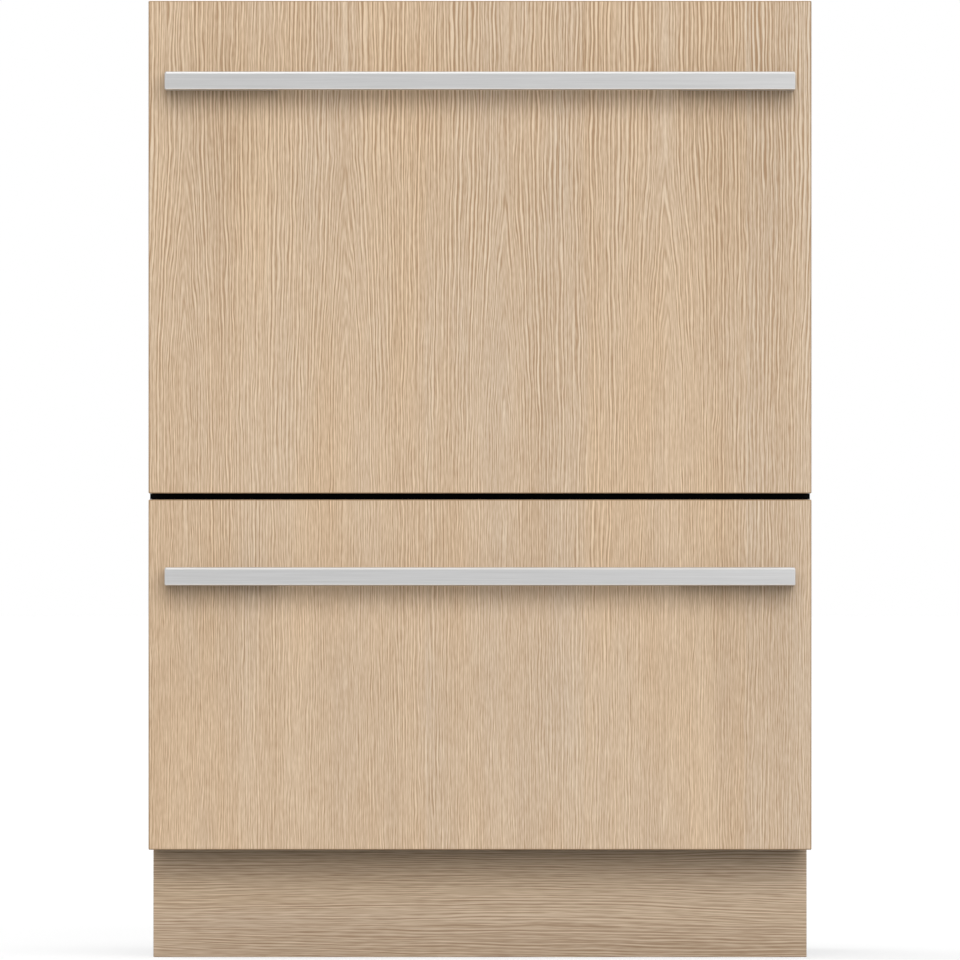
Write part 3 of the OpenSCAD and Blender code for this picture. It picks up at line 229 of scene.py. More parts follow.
FINISHES = {
    # European oak veneer, crown-cut and clear-lacquered matt: pale straw with fine brown ring lines
    "oak_veneer": lambda t: oak(t, ("E8CFB0", "E2D1BB"), "AF8F6F", "z", 144.9 * MM, 3.9 * MM, 1.0),
    # Darker oak for a front's eased edges: painted shade that draws a fine dark line round a veneered face
    "oak_edge_painted_shade": lambda t: oak(t, ("BFA383", "BDA287"), "9A7C5C", "z", 144.9 * MM, 3.9 * MM, 0.6),
    # The same oak laid with its grain across, a shade greyer
    "oak_plinth": lambda t: oak(t, ("D4BDA0", "D2BEA8"), "9E846A", "x", 400 * MM, 3.6 * MM, 1.35,
                                sway=40 * MM, broad=0.5, drawn=2.2),
    # Aluminium extrusion, brushed lengthwise and clear-anodised: long hairlines, soft sheen
    "brushed_aluminium": lambda t: metal(t, "C5C5C5", 0.36, (0.015, 1, 1), 1.2, 0.004, 0.08),
    # A lighter, half-dull copy of the aluminium for the pulls' facets that face the light: a painted
    # highlight
    "aluminium_painted_highlight": lambda t: metal(t, "DADADA", 0.40, (0.3, 1, 1), 0.5, 0.005, metallic=0.5),
    # Sheet steel, black powder coat: deep matt black with a faint orange peel
    "black_painted_steel": lambda t: moulded(t, "050506", 0.7, 0.6, 0.02, specular=0.1),
    # Hot-dip galvanised sheet: grey crystals that catch the light one by one
    "galvanised_steel": lambda t: spangled(t, "B4B8BA", 0.42),
    # Pre-galvanised tray steel with no spangle, rolled lengthwise: even grey with faint lines
    "tray_steel": lambda t: metal(t, "A9ACAE", 0.42, (1, 0.05, 1), 1.2, 0.01),
    # Zinc-plated runner steel, cold rolled: bright, with draw lines along the travel
    "runner_steel": lambda t: metal(t, "BFC2C4", 0.30, (1, 0.02, 1), 0.6, 0.01),
    # Zinc-plated yoke steel, stamped flat
    "yoke_steel": lambda t: metal(t, "B7BABC", 0.34, (1, 0.05, 1), 0.8, 0.01),
    # Galvanised frame steel behind a front
    "frame_steel": lambda t: spangled(t, "9FA3A6", 0.45),
    # Stainless steel, etched and blanked: the filter's even grey
    "filter_steel": lambda t: metal(t, "B9B8B4", 0.32, (0.06, 1, 1), 0.5, 0.008),
    # Glass-filled polyamide, moulded black-grey
    "actuator_plastic": lambda t: moulded(t, "2E3033", 0.50, 0.8, 0.02),
    # Polypropylene, natural white valve body
    "valve_plastic": lambda t: moulded(t, "DCDBD2", 0.42, 0.7, 0.015),
    # Polypropylene, grey drain elbow
    "drain_plastic": lambda t: moulded(t, "8D9194", 0.45, 0.7, 0.015),
    # Glass-filled polyamide terminal box, charcoal
    "terminal_plastic": lambda t: moulded(t, "3A3D40", 0.52, 0.8, 0.02),
    # Polyamide foot, black
    "foot_plastic": lambda t: moulded(t, "242527", 0.50, 0.9, 0.02),
    # Polycarbonate-ABS control strip, black with a fine spark-eroded grain
    "control_strip_plastic": lambda t: moulded(t, "17181A", 0.38, 0.5, 0.012),
    # Clear acrylic over a dark display: black gloss
    "display_glass": lambda t: moulded(t, "0B0C0E", 0.10, 2.0, 0.001),
    # ABS buttons, silver-grey
    "button_plastic": lambda t: moulded(t, "C9CBCC", 0.32, 0.5, 0.006),
    # Talc-filled polypropylene tub, light warm grey, satin where the tool was polished
    "tub_polymer": lambda t: moulded(t, "C3C7C9", 0.40, 1.4, 0.02, 0.04),
    # Talc-filled polypropylene pump housing, dark grey
    "pump_plastic": lambda t: moulded(t, "3E4347", 0.48, 1.0, 0.02),
    # Polypropylene spray arm, mid grey
    "spray_arm_plastic": lambda t: moulded(t, "9BA1A5", 0.40, 0.9, 0.015),
    # Steel wire dipped in polyamide: thick soft-gloss grey coat
    "coated_wire": lambda t: moulded(t, "A3A9AD", 0.35, 1.6, 0.03),
    # Polypropylene cutlery basket, pale grey
    "basket_plastic": lambda t: moulded(t, "A9AFB3", 0.45, 0.8, 0.015),
    # Polypropylene dispenser housing, white
    "dispenser_plastic": lambda t: moulded(t, "E2E3E0", 0.36, 0.8, 0.012),
    # Polypropylene dispenser door, blue-grey
    "dispenser_door_plastic": lambda t: moulded(t, "7E8B97", 0.38, 0.8, 0.012),
    # Talc-filled polypropylene lid
    "lid_plastic": lambda t: moulded(t, "B9BDC0", 0.42, 1.2, 0.02),
    # EPDM gasket: dull black rubber
    "gasket_rubber": lambda t: moulded(t, "1D1E1F", 0.75, 0.7, 0.02),
    # Glass-filled polyamide link arms, grey
    "link_plastic": lambda t: moulded(t, "5B6064", 0.50, 0.9, 0.02),
}
MATERIAL = {name: finish(name, make) for name, make in FINISHES.items()}


# ---------------------------------------------------------------- shapes

SMOOTH, CREASE = 35, 40     # degrees between faces: shaded smooth below the first, eased above the second


def shell(rings, looped=False):
    """Skin over a grid of rings: point j of ring i meets point j + 1 and the same points of ring i + 1.

    Each end ring is closed by one flat face, or by the other end when looped. The faces are turned
    outwards by the sign of the volume inside, the sum of a . (b x c) / 6 over the triangles.
    """
    rings = np.asarray(rings, float)
    index = np.arange(rings.shape[0] * rings.shape[1]).reshape(rings.shape[:2])
    low, high = (index, np.roll(index, -1, 0)) if looped else (index[:-1], index[1:])
    quads = np.stack([low, np.roll(low, -1, 1), np.roll(high, -1, 1), high], -1).reshape(-1, 4)
    caps = [] if looped else [index[0, ::-1], index[-1]]
    points = rings.reshape(-1, 3)
    corners = np.vstack([quads[:, :3], quads[:, [0, 2, 3]]]
                        + [np.stack([np.full(len(c) - 2, c[0]), c[1:-1], c[2:]], -1) for c in caps])
    a, b, c = np.moveaxis(points[corners] - points.mean(0), 1, 0)
    if np.sum(a * np.cross(b, c)) < 0:
        quads, caps = quads[:, ::-1], [c[::-1] for c in caps]
    return points, quads, caps


def carried(outline, start, end, axis="z"):
    """Flat outline (u, v) carried straight along an axis: the same ring at both ends."""
    outline = np.asarray(outline, float)
    rings = [np.column_stack([outline, np.full(len(outline), w)]) for w in (start, end)]
    return shell(np.array(rings)[..., ORDER[axis]])


def block(low, high):
    """Box: the rectangle of its plan carried from its bottom to its top."""
    (x0, y0, z0), (x1, y1, z1) = low, high
    return carried([(x0, y0), (x1, y0), (x1, y1), (x0, y1)], z0, z1)


def turned(profile, centre, axis="z", sides=32, looped=False):
    """Lathe work: each (radius, height) of the profile goes round as (r cos a, r sin a, height)."""
    r, h = np.asarray(profile, float).T
    a = np.linspace(0, math.tau, sides, endpoint=False)
    rings = np.stack([np.outer(r, np.cos(a)), np.outer(r, np.sin(a)), np.repeat(h[:, None], sides, 1)], -1)
    return shell(rings[..., ORDER[axis]] + np.asarray(centre), looped)


def bend(corners, radius, looped=False, steps=4):
    """Path with eased corners: each is the curve (1-t)^2 a + 2t(1-t) c + t^2 b round its corner c."""
    corners = np.asarray(corners, float)
    c = corners if looped else corners[1:-1]
    last, then = ((np.roll(corners, 1, 0), np.roll(corners, -1, 0)) if looped
                  else (corners[:-2], corners[2:]))
    a = c + radius * (last - c) / np.linalg.norm(last - c, axis=1, keepdims=True)
    b = c + radius * (then - c) / np.linalg.norm(then - c, axis=1, keepdims=True)
    t = np.linspace(0, 1, steps + 1)[:, None]
    arcs = ((1 - t) ** 2 * a[:, None] + 2 * t * (1 - t) * c[:, None] + t ** 2 * b[:, None]).reshape(-1, 3)
    return arcs if looped else np.vstack([corners[:1], arcs, corners[-1:]])


def wire(path, radius, flat, looped=False, sides=8, tip=False):
    """Round wire along a flat path: rings r (cos a N + sin a T x N) about it.

    T is the path's tangent and N its plane's normal. A tip draws the last ring in to a rounded end.
    """
    path = np.asarray(path, float)
    if looped:
        tangent = np.roll(path, -1, 0) - np.roll(path, 1, 0)
    else:
        tangent = np.gradient(path, axis=0)
    tangent /= np.linalg.norm(tangent, axis=1, keepdims=True)
    radii = np.full(len(path), float(radius))
    if tip:
        end, way = path[-1], tangent[-1]
        path = np.vstack([path, end + 0.6 * radius * way, end + radius * way])
        tangent = np.vstack([tangent, way, way])
        radii = np.append(radii, (0.8 * radius, 0.3 * radius))
    normal = np.broadcast_to(np.asarray(flat, float), path.shape)
    side = np.cross(tangent, normal)
    a = np.linspace(0, math.tau, sides, endpoint=False)[None, :, None]
    rings = path[:, None] + radii[:, None, None] * (np.cos(a) * normal[:, None] + np.sin(a) * side[:, None])
    return shell(rings, looped)


def rounded(x0, x1, y0, y1, r, side=1, steps=6):
    """Rectangle with a quarter circle at each corner and `side` equal steps along each straight."""
    turn = np.radians(np.array([0, 90, 180, 270])[:, None] + np.linspace(0, 90, steps + 1))
    middle = np.array([(x1 - r, y1 - r), (x0 + r, y1 - r), (x0 + r, y0 + r), (x1 - r, y0 + r)])
    arcs = middle[:, None] + r * np.stack([np.cos(turn), np.sin(turn)], -1)
    share = np.arange(1, side)[None, :, None] / side
    straights = arcs[:, -1:] * (1 - share) + np.roll(arcs, -1, 0)[:, :1] * share
    return np.concatenate([arcs, straights], 1).reshape(-1, 2)


def piece(name, parts, material, body, stands_for=(), bevel=0.0, segments=2, edge=None):
    """One mesh from closed parts, finished as finish_mesh says."""
    starts = np.cumsum([0] + [len(points) for points, _, _ in parts])
    faces = []
    for start, (_, quads, caps) in zip(starts, parts):
        faces += (quads + start).tolist() + [(cap + start).tolist() for cap in caps]
    mesh = bpy.data.meshes.new(name)
    mesh.from_pydata(np.vstack([points for points, _, _ in parts]).tolist(), [], faces)
    finish_mesh(mesh, name, material, body, stands_for, bevel, segments, edge)


def finish_mesh(mesh, name, material, body, stands_for=(), bevel=0.0, segments=2, edge=None):
    """Object of a mesh, smooth up to SMOOTH degrees, with its edges eased, its finish and its body.

    The eased edges may take a second finish, which paints light or shade along them: a painted highlight on
    the pulls, painted shade on the fronts. Slanting faces, apart from those that look well down or well to
    the left, away from the light, take it too, as a painted highlight.
    """
    mesh.materials.append(MATERIAL[material])
    if edge:
        mesh.materials.append(MATERIAL[edge])
        normals = np.empty(3 * len(mesh.polygons), np.float32)
        mesh.polygon_normals.foreach_get("vector", normals)
        normals = normals.reshape(-1, 3)
        # Slanting faces take the second finish, a painted highlight, unless they look well down or well to
        # the left
        slanting, turned_away = np.abs(normals).max(1) < 0.98, normals[:, [0, 2]].min(1) <= -0.5
        painted_light_faces = slanting & ~turned_away
        mesh.polygons.foreach_set("material_index", painted_light_faces.astype(np.int32))
    mesh.shade_smooth()
    mesh.set_sharp_from_angle(angle=math.radians(SMOOTH))
    thing = bpy.data.objects.new(name, mesh)
    bpy.context.collection.objects.link(thing)
    if bevel:
        eased = thing.modifiers.new("eased", "BEVEL")
        eased.width, eased.segments = bevel, segments
        eased.limit_method, eased.angle_limit = "ANGLE", math.radians(CREASE)
        eased.harden_normals = True
        # The bevel's faces take the second finish, which paints light or shade along the eased edges
        eased.material = 1 if edge else -1
    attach(thing, body)
    if stands_for:
        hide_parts(*stands_for)


def extent(node):
    """Lowest and highest corner of a CAD node."""
    return (np.array(corner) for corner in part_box(node))


# ---------------------------------------------------------------- fronts, handles, plinth

PULL_THICK, PULL_FOOT, PULL_EDGE = 8 * MM, 102 * MM, 0.9 * MM


def flat_pull(level):
    """Bar with a foot at each end: its plan at six heights.

    The top, bottom and right-hand edges catch the light in a thin line, and a lighter finish on their facets
    adds a painted highlight there. Beyond it the top and bottom are cut back so far that they mirror the
    wood, and so is the left-hand edge.
    """
    (x0, y0, low), (x1, y1, high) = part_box(level + "_handle")
    back, foot, c = y0 + PULL_THICK, PULL_FOOT, PULL_EDGE

    def plan(f, s, z):
        """Ring at height z, drawn in by f at the front and by s at both ends."""
        left, right, front = x0 + s, x1 - s, y0 + f
        bar = [(left, front + 2.8 * c), (left + 1.2 * c, front), (right - c, front), (right, front + c)]
        feet = [(right, y1), (x1 - foot, y1), (x1 - foot, back),
                (x0 + foot, back), (x0 + foot, y1), (left, y1)]
        return [(x, y, z) for x, y in bar + feet]

    heights = [plan(4.0 * MM, c, low), plan(0.3 * MM, 0.2 * c, low + 0.9 * MM), plan(0, 0, low + 1.8 * MM),
               plan(0, 0, high - 1.9 * MM), plan(1.5 * MM, 0.6 * c, high - 0.4 * MM),
               plan(5.0 * MM, c, high)]
    # Its lighter facets along the top, bottom and right-hand edges are a painted highlight
    piece(level + "_flat_pull", [shell(heights)], "brushed_aluminium", level + "_drawer",
          (level + "_handle",), edge="aluminium_painted_highlight")


for level in LEVELS:
    panel = block(*extent(level + "_front_panel"))
    # Its eased edges take darker oak, painted shade that outlines the front
    piece(level + "_veneered_front", [panel], "oak_veneer", level + "_drawer",
          (level + "_front_panel",), bevel=1.0 * MM, segments=3, edge="oak_edge_painted_shade")
    flat_pull(level)
piece("plinth_veneered_board", [block(*extent("plinth_board"))], "oak_plinth", "chassis", ("plinth_board",),
      bevel=0.6 * MM)


# ---------------------------------------------------------------- tubs

MIDDLE_Y = 24 * MM      # of a tub, its pump and its spray arm
TUB_X, TUB_FRONT, TUB_BACK, TUB_CORNER = 270 * MM, -214 * MM, 262 * MM, 34 * MM
WALL = 3 * MM
FILLET = 11 * MM        # outside, between a tub's wall and its underside
SUMP_DEPTH = 14 * MM
# A tub's flanged rim: growth of its plan, and height above the rim
RIM = np.array([(0, -6), (1, -4), (3, -3), (7, -3), (8, -2), (8, -1), (7, 0), (-2, 0), (-3, -1),
                (-3, -22), (-2.2, -24), (-3, -26)]) * MM
# Its round sump: radius, and height above the underside, in and down to the pump's neck and back out
SUMP = np.array([(120, 3), (118, 2.4), (117, 0), (117, -8), (114, -11), (16.3, -11), (16.3, -14),
                 (117, -14), (120, -11), (120, 0)]) * MM
BOSS_HALF, BOSS_FRONT = 15 * MM, -222 * MM
LINK_PIN = np.array((230, 282.9, 114.6)) * MM       # x, y, and the height of its plate above the underside
PLATE_HALF, PLATE_LIP, PLATE_THICK = 22 * MM, 12 * MM, 4 * MM


def tub_levels(level):
    """Heights of a tub's underside, floor and rim."""
    low, high = extent(level + "_tub")
    return low[2] + SUMP_DEPTH, low[2] + SUMP_DEPTH + WALL, high[2]


def tub_skin(level):
    """Tub as one looped loft: rounded plans grown by g at height z, then circles of radius r for the sump.

    The rings go up the outside from the sump, over the rim's flange, down the inside by a quarter-round
    fillet, across the floor and through the sump, back to where they began.
    """
    under, floor, rim = tub_levels(level)
    quarter = np.linspace(0, math.pi / 2, 6)
    outer, inner = FILLET, FILLET - WALL
    rise = np.column_stack([outer * (np.sin(quarter) - 1), under + outer * (1 - np.cos(quarter))])
    fall = np.column_stack([inner * (np.cos(quarter) - 1) - WALL, floor + inner * (1 - np.sin(quarter))])
    g, z = np.vstack([rise, RIM + (0, rim), fall]).T
    plan = np.array([rounded(-TUB_X - k, TUB_X + k, TUB_FRONT - k, TUB_BACK + k, TUB_CORNER + k, 10)
                     for k in g])
    walls = np.concatenate([plan, np.broadcast_to(z[:, None, None], (*plan.shape[:2], 1))], 2)
    angle = np.arctan2(plan[0, :, 1] - MIDDLE_Y, plan[0, :, 0])
    r, h = SUMP.T
    sump = np.stack([np.outer(r, np.cos(angle)), MIDDLE_Y + np.outer(r, np.sin(angle)),
                     np.repeat(under + h[:, None], len(angle), 1)], -1)
    return shell(np.concatenate([walls, sump]), looped=True)


def tub_fittings(level):
    """Ribbed runner ledges, the two front bosses, and the link bracket with its pin."""
    under, _, rim = tub_levels(level)
    low, high = extent(level + "_runner_inners")
    bottom, top, ledge_x = low[2] + WALL, high[2] - WALL, high[0]
    y0, y1 = TUB_FRONT + TUB_CORNER, TUB_BACK - TUB_CORNER
    ribs = np.linspace(y0, y1 - WALL, 9)
    parts = []
    for side in (-1, 1):
        x0, x1 = sorted((side * (TUB_X - WALL / 2), side * ledge_x))
        parts += [block((x0, y0, z), (x1, y1, z + WALL)) for z in (bottom, top - WALL)]
        parts += [block((x0, y, bottom), (x1, y + WALL, top)) for y in ribs]
        x = side * TUB_X * 2 / 3
        parts.append(block((x - BOSS_HALF, BOSS_FRONT, under + 20 * MM),
                           (x + BOSS_HALF, TUB_FRONT + 1 * MM, rim - WALL)))
    x, y, plate = LINK_PIN + (0, 0, under)
    parts.append(block((x - PLATE_HALF, TUB_BACK - 1 * MM, plate),
                       (x + PLATE_HALF, y + PLATE_LIP, plate + PLATE_THICK)))
    pin = [(4.2 * MM, plate - 14 * MM), (5 * MM, plate - 13 * MM), (5 * MM, plate + 2 * MM)]
    return parts + [turned(pin, (x, y, 0))]


for level in LEVELS:
    piece(level + "_tub_moulding", [tub_skin(level)], "tub_polymer", level + "_drawer", (level + "_tub",))
    piece(level + "_tub_fittings", tub_fittings(level), "tub_polymer", level + "_drawer", (level + "_tub",),
          bevel=0.6 * MM)


# ---------------------------------------------------------------- racks and baskets

WIRE = 2 * MM
RACK_X, RACK_FRONT, RACK_BACK = 248 * MM, -180 * MM, 250 * MM
WELD = 1.8 * WIRE       # between the middles of two wires welded side by side
RAIL_BEND, MAT_BEND, FOOT_BEND = 18 * MM, 9 * MM, 6 * MM
FEET_Y = (-170 * MM, -150 * MM), (220 * MM, 240 * MM)
TINE_ROWS = np.arange(-2.5, 2) * 54 * MM
TINE_PITCH, TINE_HIGH, TINE_ROW_END = 36 * MM, 60 * MM, 158 * MM
CUP_AXIS_X, CUP_AXIS_RISE = -234 * MM, 85 * MM
EARS_Y, EAR_HALF_Y, EAR_HALF_Z = (-75 * MM, 123 * MM), 3 * MM, 4 * MM
# An ear's eye: radius, and place along the axle
EYE = np.array([(2.3, -3), (4.8, -3), (5.2, -2.6), (5.2, 2.6), (4.8, 3), (2.3, 3)]) * MM
CUP_LEAN, CUP_DEEP = math.radians(6), 80 * MM


def rack_levels(level):
    """Heights of a rack's feet, floor wires and top rail."""
    _, high = extent(level + "_rack")
    _, floor, _ = tub_levels(level)
    return floor + WIRE, floor + 40 * MM, high[2] - WIRE


def bent_rack(level):
    """Rack of round wire: level rails, U-shaped wires both ways inside them, feet, plate tines and ears.

    The top rail steps down in the middle of the front, where the detergent door slides.
    """
    foot_z, z, top = rack_levels(level)
    dip_x, dip_z, splice = RACK_X * 5 / 9, z + TINE_HIGH, 12 * MM
    plan = rounded(-RACK_X, RACK_X, RACK_FRONT, RACK_BACK, RAIL_BEND)
    parts = [wire(np.column_stack([plan, np.full(len(plan), z)]), WIRE, (0, 0, 1), looped=True)]
    for rail, end in ((z + CUP_AXIS_RISE, dip_x), (top, dip_x + splice)):
        corners = [(-end, RACK_FRONT), (-RACK_X, RACK_FRONT), (-RACK_X, RACK_BACK),
                   (RACK_X, RACK_BACK), (RACK_X, RACK_FRONT), (end, RACK_FRONT)]
        parts.append(wire(bend([(x, y, rail) for x, y in corners], RAIL_BEND), WIRE, (0, 0, 1)))
    step = [(dip_x + splice, top), (dip_x, top), (dip_x, dip_z)]
    step = [(-x, h) for x, h in step] + step[::-1]
    parts.append(wire(bend([(x, RACK_FRONT, h) for x, h in step], MAT_BEND), WIRE, (0, 1, 0)))
    for x in np.linspace(-RACK_X, RACK_X, 10)[1:-1]:
        front, back = RACK_FRONT + WELD, RACK_BACK - WELD
        tip = top if abs(x) > dip_x + 1 * MM else dip_z
        corners = [(x, front, tip), (x, front, z), (x, back, z), (x, back, top + WIRE / 2)]
        parts.append(wire(bend(corners, MAT_BEND), WIRE, (1, 0, 0)))
    for y in np.linspace(RACK_FRONT, RACK_BACK, 8)[1:-1]:
        side, low = RACK_X - WELD, z - WELD
        corners = [(-side, y, top), (-side, y, low), (side, y, low), (side, y, top)]
        parts.append(wire(bend(corners, MAT_BEND), WIRE, (0, 1, 0)))
    for x in (WELD - RACK_X, RACK_X - WELD):
        for y0, y1 in FEET_Y:
            corners = [(x, y0, z + WIRE), (x, y0, foot_z), (x, y1, foot_z), (x, y1, z + WIRE)]
            parts.append(wire(bend(corners, FOOT_BEND), WIRE, (1, 0, 0)))
    base, row_end = z + 2 * WIRE, TINE_ROW_END
    for x in TINE_ROWS:
        parts.append(wire([(x, MIDDLE_Y + y, base) for y in (-row_end, row_end)], WIRE, (1, 0, 0)))
        parts += [wire([(x, MIDDLE_Y + k * TINE_PITCH, h) for h in (base, z + TINE_HIGH)],
                       WIRE, (1, 0, 0), tip=True) for k in range(-4, 5)]
    axis = z + CUP_AXIS_RISE
    for y in EARS_Y:
        parts.append(block((-RACK_X, y - EAR_HALF_Y, axis - EAR_HALF_Z),
                           (CUP_AXIS_X - 3.5 * MM, y + EAR_HALF_Y, axis + EAR_HALF_Z)))
        parts.append(turned(EYE, (CUP_AXIS_X, y, axis), "y", 24, looped=True))
    return parts


def bent_cup_rack(level):
    """Shelf of round wire on its axle: a bent frame that leans out by CUP_LEAN, and five bars across it."""
    _, z, _ = rack_levels(level)
    up = CUP_DEEP * np.array([-math.sin(CUP_LEAN), 0, math.cos(CUP_LEAN)])
    flat = np.cross((0, 1, 0), up / np.linalg.norm(up))
    near, far = EARS_Y
    ends = near - 6 * MM, far + 6 * MM, near + 8 * MM, far - 8 * MM     # of the axle, then of the frame
    axle_near, axle_far, frame_near, frame_far = np.array([(CUP_AXIS_X, y, z + CUP_AXIS_RISE) for y in ends])
    frame_path = bend([frame_near, frame_near + up, frame_far + up, frame_far], 11 * MM)
    bars = np.linspace(frame_near, frame_far, 7)[1:-1]
    return [wire([axle_near, axle_far], WIRE, (0, 0, 1)), wire(frame_path, WIRE, flat),
            *(wire([bar, bar + up], WIRE, flat) for bar in bars)]


def slatted_basket(level):
    """Basket of a tray, a top band and upright slats between them, each corner of its plan rounded."""
    low, high = extent(level + "_cutlery_basket")
    base, top, wall, ease, half = low[2], high[2], 2.5 * MM, 0.7 * MM, 6.5 * MM
    tray_top, band_foot, lap = base + 14 * MM, top - 20 * MM, 1 * MM

    def ring(inset, z):
        xy = rounded(low[0] + inset, high[0] - inset, low[1] + inset, high[1] - inset, 7 * MM - inset, 1)
        return np.column_stack([xy, np.full(len(xy), z)])

    tray = [ring(ease, base), ring(0, base + ease), ring(0, tray_top), ring(wall, tray_top),
            ring(wall, base + wall)]
    band = [ring(0, band_foot), ring(0, top - ease), ring(ease, top), ring(wall - ease, top),
            ring(wall, top - ease), ring(wall, band_foot)]
    parts = [shell(tray), shell(band, looped=True)]
    z0, z1 = tray_top - lap, band_foot + lap
    for y in np.linspace(low[1], high[1], 17)[1:-1:2]:
        for x in (low[0], high[0] - wall):
            parts.append(block((x, y - half, z0), (x + wall, y + half, z1)))
    for x in np.linspace(low[0], high[0], 7)[1:-1:2]:
        for y in (low[1], high[1] - wall):
            parts.append(block((x - half, y, z0), (x + half, y + wall, z1)))
    return parts


for level in LEVELS:
    piece(level + "_bent_wire_rack", bent_rack(level), "coated_wire", level + "_drawer", (level + "_rack",))
    piece(level + "_bent_wire_cup_rack", bent_cup_rack(level), "coated_wire", level + "_cup_rack",
          (level + "_cup_rack",))
    piece(level + "_slatted_basket", slatted_basket(level), "basket_plastic", level + "_drawer",
          (level + "_cutlery_basket",), bevel=0.4 * MM)


# ---------------------------------------------------------------- spray arms

ARM_REACH, ARM_TIP = 215 * MM, 198 * MM     # the end of a blade, and where it starts to round off
ARM_ROOT_HALF, ARM_TIP_HALF, ARM_HALF_HIGH = 23 * MM, 17 * MM, 4.5 * MM
# Profiles in millimetres, as radius and height: hub and grip nut above the hub's foot, nozzle about its top
HUB = [(6, -1), (22, -1), (24, 0.5), (24, 12), (23, 14), (20, 15.4), (14, 16)]
GRIP_NUT = np.array([(11, 15), (11, 17.2), (10.2, 18)])
NOZZLE = np.array([(1.6, -1.5), (5.6, -1.5), (5.0, 1.6), (4.2, 2.5), (2.2, 2.5), (1.6, 1.9)])


def spray_blades(centre, under):
    """Both blades in one loft: a squircle of half-width w(x) and half-height h(x) at each station x.

    w falls in a straight line from hub to tip, and then rounds off as a half circle; the squircle's point
    at angle a is (w |cos a|^0.5, h |sin a|^0.5), with the signs of cos a and sin a.
    """
    x = ARM_REACH * np.sin(np.linspace(-0.5, 0.5, 61) * math.pi)
    far = np.clip((np.abs(x) - ARM_TIP) / (ARM_REACH - ARM_TIP), 0, 0.995)
    wide = np.interp(np.abs(x), (0, ARM_TIP), (ARM_ROOT_HALF, ARM_TIP_HALF)) * np.sqrt(1 - far ** 2)
    tall = ARM_HALF_HIGH * (1 - 0.55 * far ** 2)
    a = np.linspace(0, math.tau, 24, endpoint=False)
    u, v = (np.sign(f(a)) * np.abs(f(a)) ** 0.5 for f in (np.cos, np.sin))
    rings = np.stack([np.repeat(x[:, None], len(a), 1), np.outer(wide, u), np.outer(tall, v)], -1)
    return shell(rings + (centre[0], centre[1], under + ARM_HALF_HIGH))


def spray_arm_parts(level):
    """Blades, a hub turned with a rounded shoulder, its shaft, a grip nut and six raised nozzles."""
    low, high = extent(level + "_spray_arm")
    foot, top = high[2] - 18 * MM, high[2] - 4 * MM
    centre = (0, MIDDLE_Y, 0)
    shaft_foot = (HUB[0][0], (low[2] - foot) / MM)
    parts = [spray_blades(centre, foot + 5 * MM),
             turned(np.array([shaft_foot] + HUB) * MM + (0, foot), centre, sides=48),
             turned(GRIP_NUT * MM + (0, foot), centre, sides=8)]
    for share in (-0.85, -0.6, -0.35, 0.35, 0.6, 0.85):
        parts.append(turned(NOZZLE * MM + (0, top), (share * ARM_TIP, MIDDLE_Y, 0), sides=20, looped=True))
    return parts


for level in LEVELS:
    piece(level + "_spray_arm_moulding", spray_arm_parts(level), "spray_arm_plastic", level + "_spray_arm",
          (level + "_spray_arm",))


# ---------------------------------------------------------------- controls, feet and connections

# Profiles in millimetres, as radius and height: a button from its top, a foot's pad and hexagon from the
# floor, and one hose barb and the spigot's bore from the middle of the appliance
BUTTON = np.array([(7, -8), (7, -1), (6.7, -0.4), (6.1, 0), (5.4, -0.1), (4.2, -0.4), (2.4, -0.6),
                   (0.4, -0.65)])
PAD = np.array([(15, 0), (16, 0.8), (16, 2.2), (14.6, 3.2), (14.3, 7.4), (13.4, 8), (4, 8)])
HEXAGON = np.array([(7.6, 7.9), (8.8, 8.6), (8.8, 14.4), (7.6, 15)])
BARB, BARB_PITCH = np.array([(9.4, 282), (10.6, 282.6), (9.5, 286.2)]), 4.8
SPIGOT_BORE = [(8.8, 295.8), (8.8, 282)]
DISPLAY_X, DISPLAY_Y = (97 * MM, 158.2 * MM), (-240.8 * MM, -229.2 * MM)
INLET, DRAIN = (170 * MM, 0, 82 * MM), (90 * MM, 0, 82 * MM)        # axes of the water connections


def dished_button(level, name):
    """Button cap turned with an eased rim and a shallow dish."""
    low, high = extent(level + "_" + name + "_button")
    centre = ((low[0] + high[0]) / 2, (low[1] + high[1]) / 2, 0)
    return [turned(BUTTON * MM + (0, high[2]), centre, sides=40)]


def threaded(radius, depth, pitch, start, end, centre, axis="z", bore=None):
    """Screw thread: its radius at angle a and height h is radius - depth cos(2 pi h / pitch - a)."""
    h = np.arange(start, end, pitch / 5)
    a = np.linspace(0, math.tau, 24, endpoint=False)
    r = radius - depth * np.cos(math.tau * h[:, None] / pitch - a)
    if bore:
        h, r = np.concatenate([h, h[-1:], h[:1]]), np.vstack([r, np.full((2, len(a)), bore)])
    rings = np.stack([r * np.cos(a), r * np.sin(a), np.repeat(h[:, None], len(a), 1)], -1)
    return shell(rings[..., ORDER[axis]] + np.asarray(centre), looped=bool(bore))


def levelling_foot(node):
    """Foot on its threaded stud: a pad with a grip groove, and a hexagon to turn it by."""
    low, high = extent(node)
    centre = ((low[0] + high[0]) / 2, (low[1] + high[1]) / 2, 0)
    return [turned(PAD * MM, centre, sides=48), turned(HEXAGON * MM, centre, sides=6),
            threaded(4.7 * MM, 0.3 * MM, 1.75 * MM, start=14.5 * MM, end=high[2], centre=centre)]


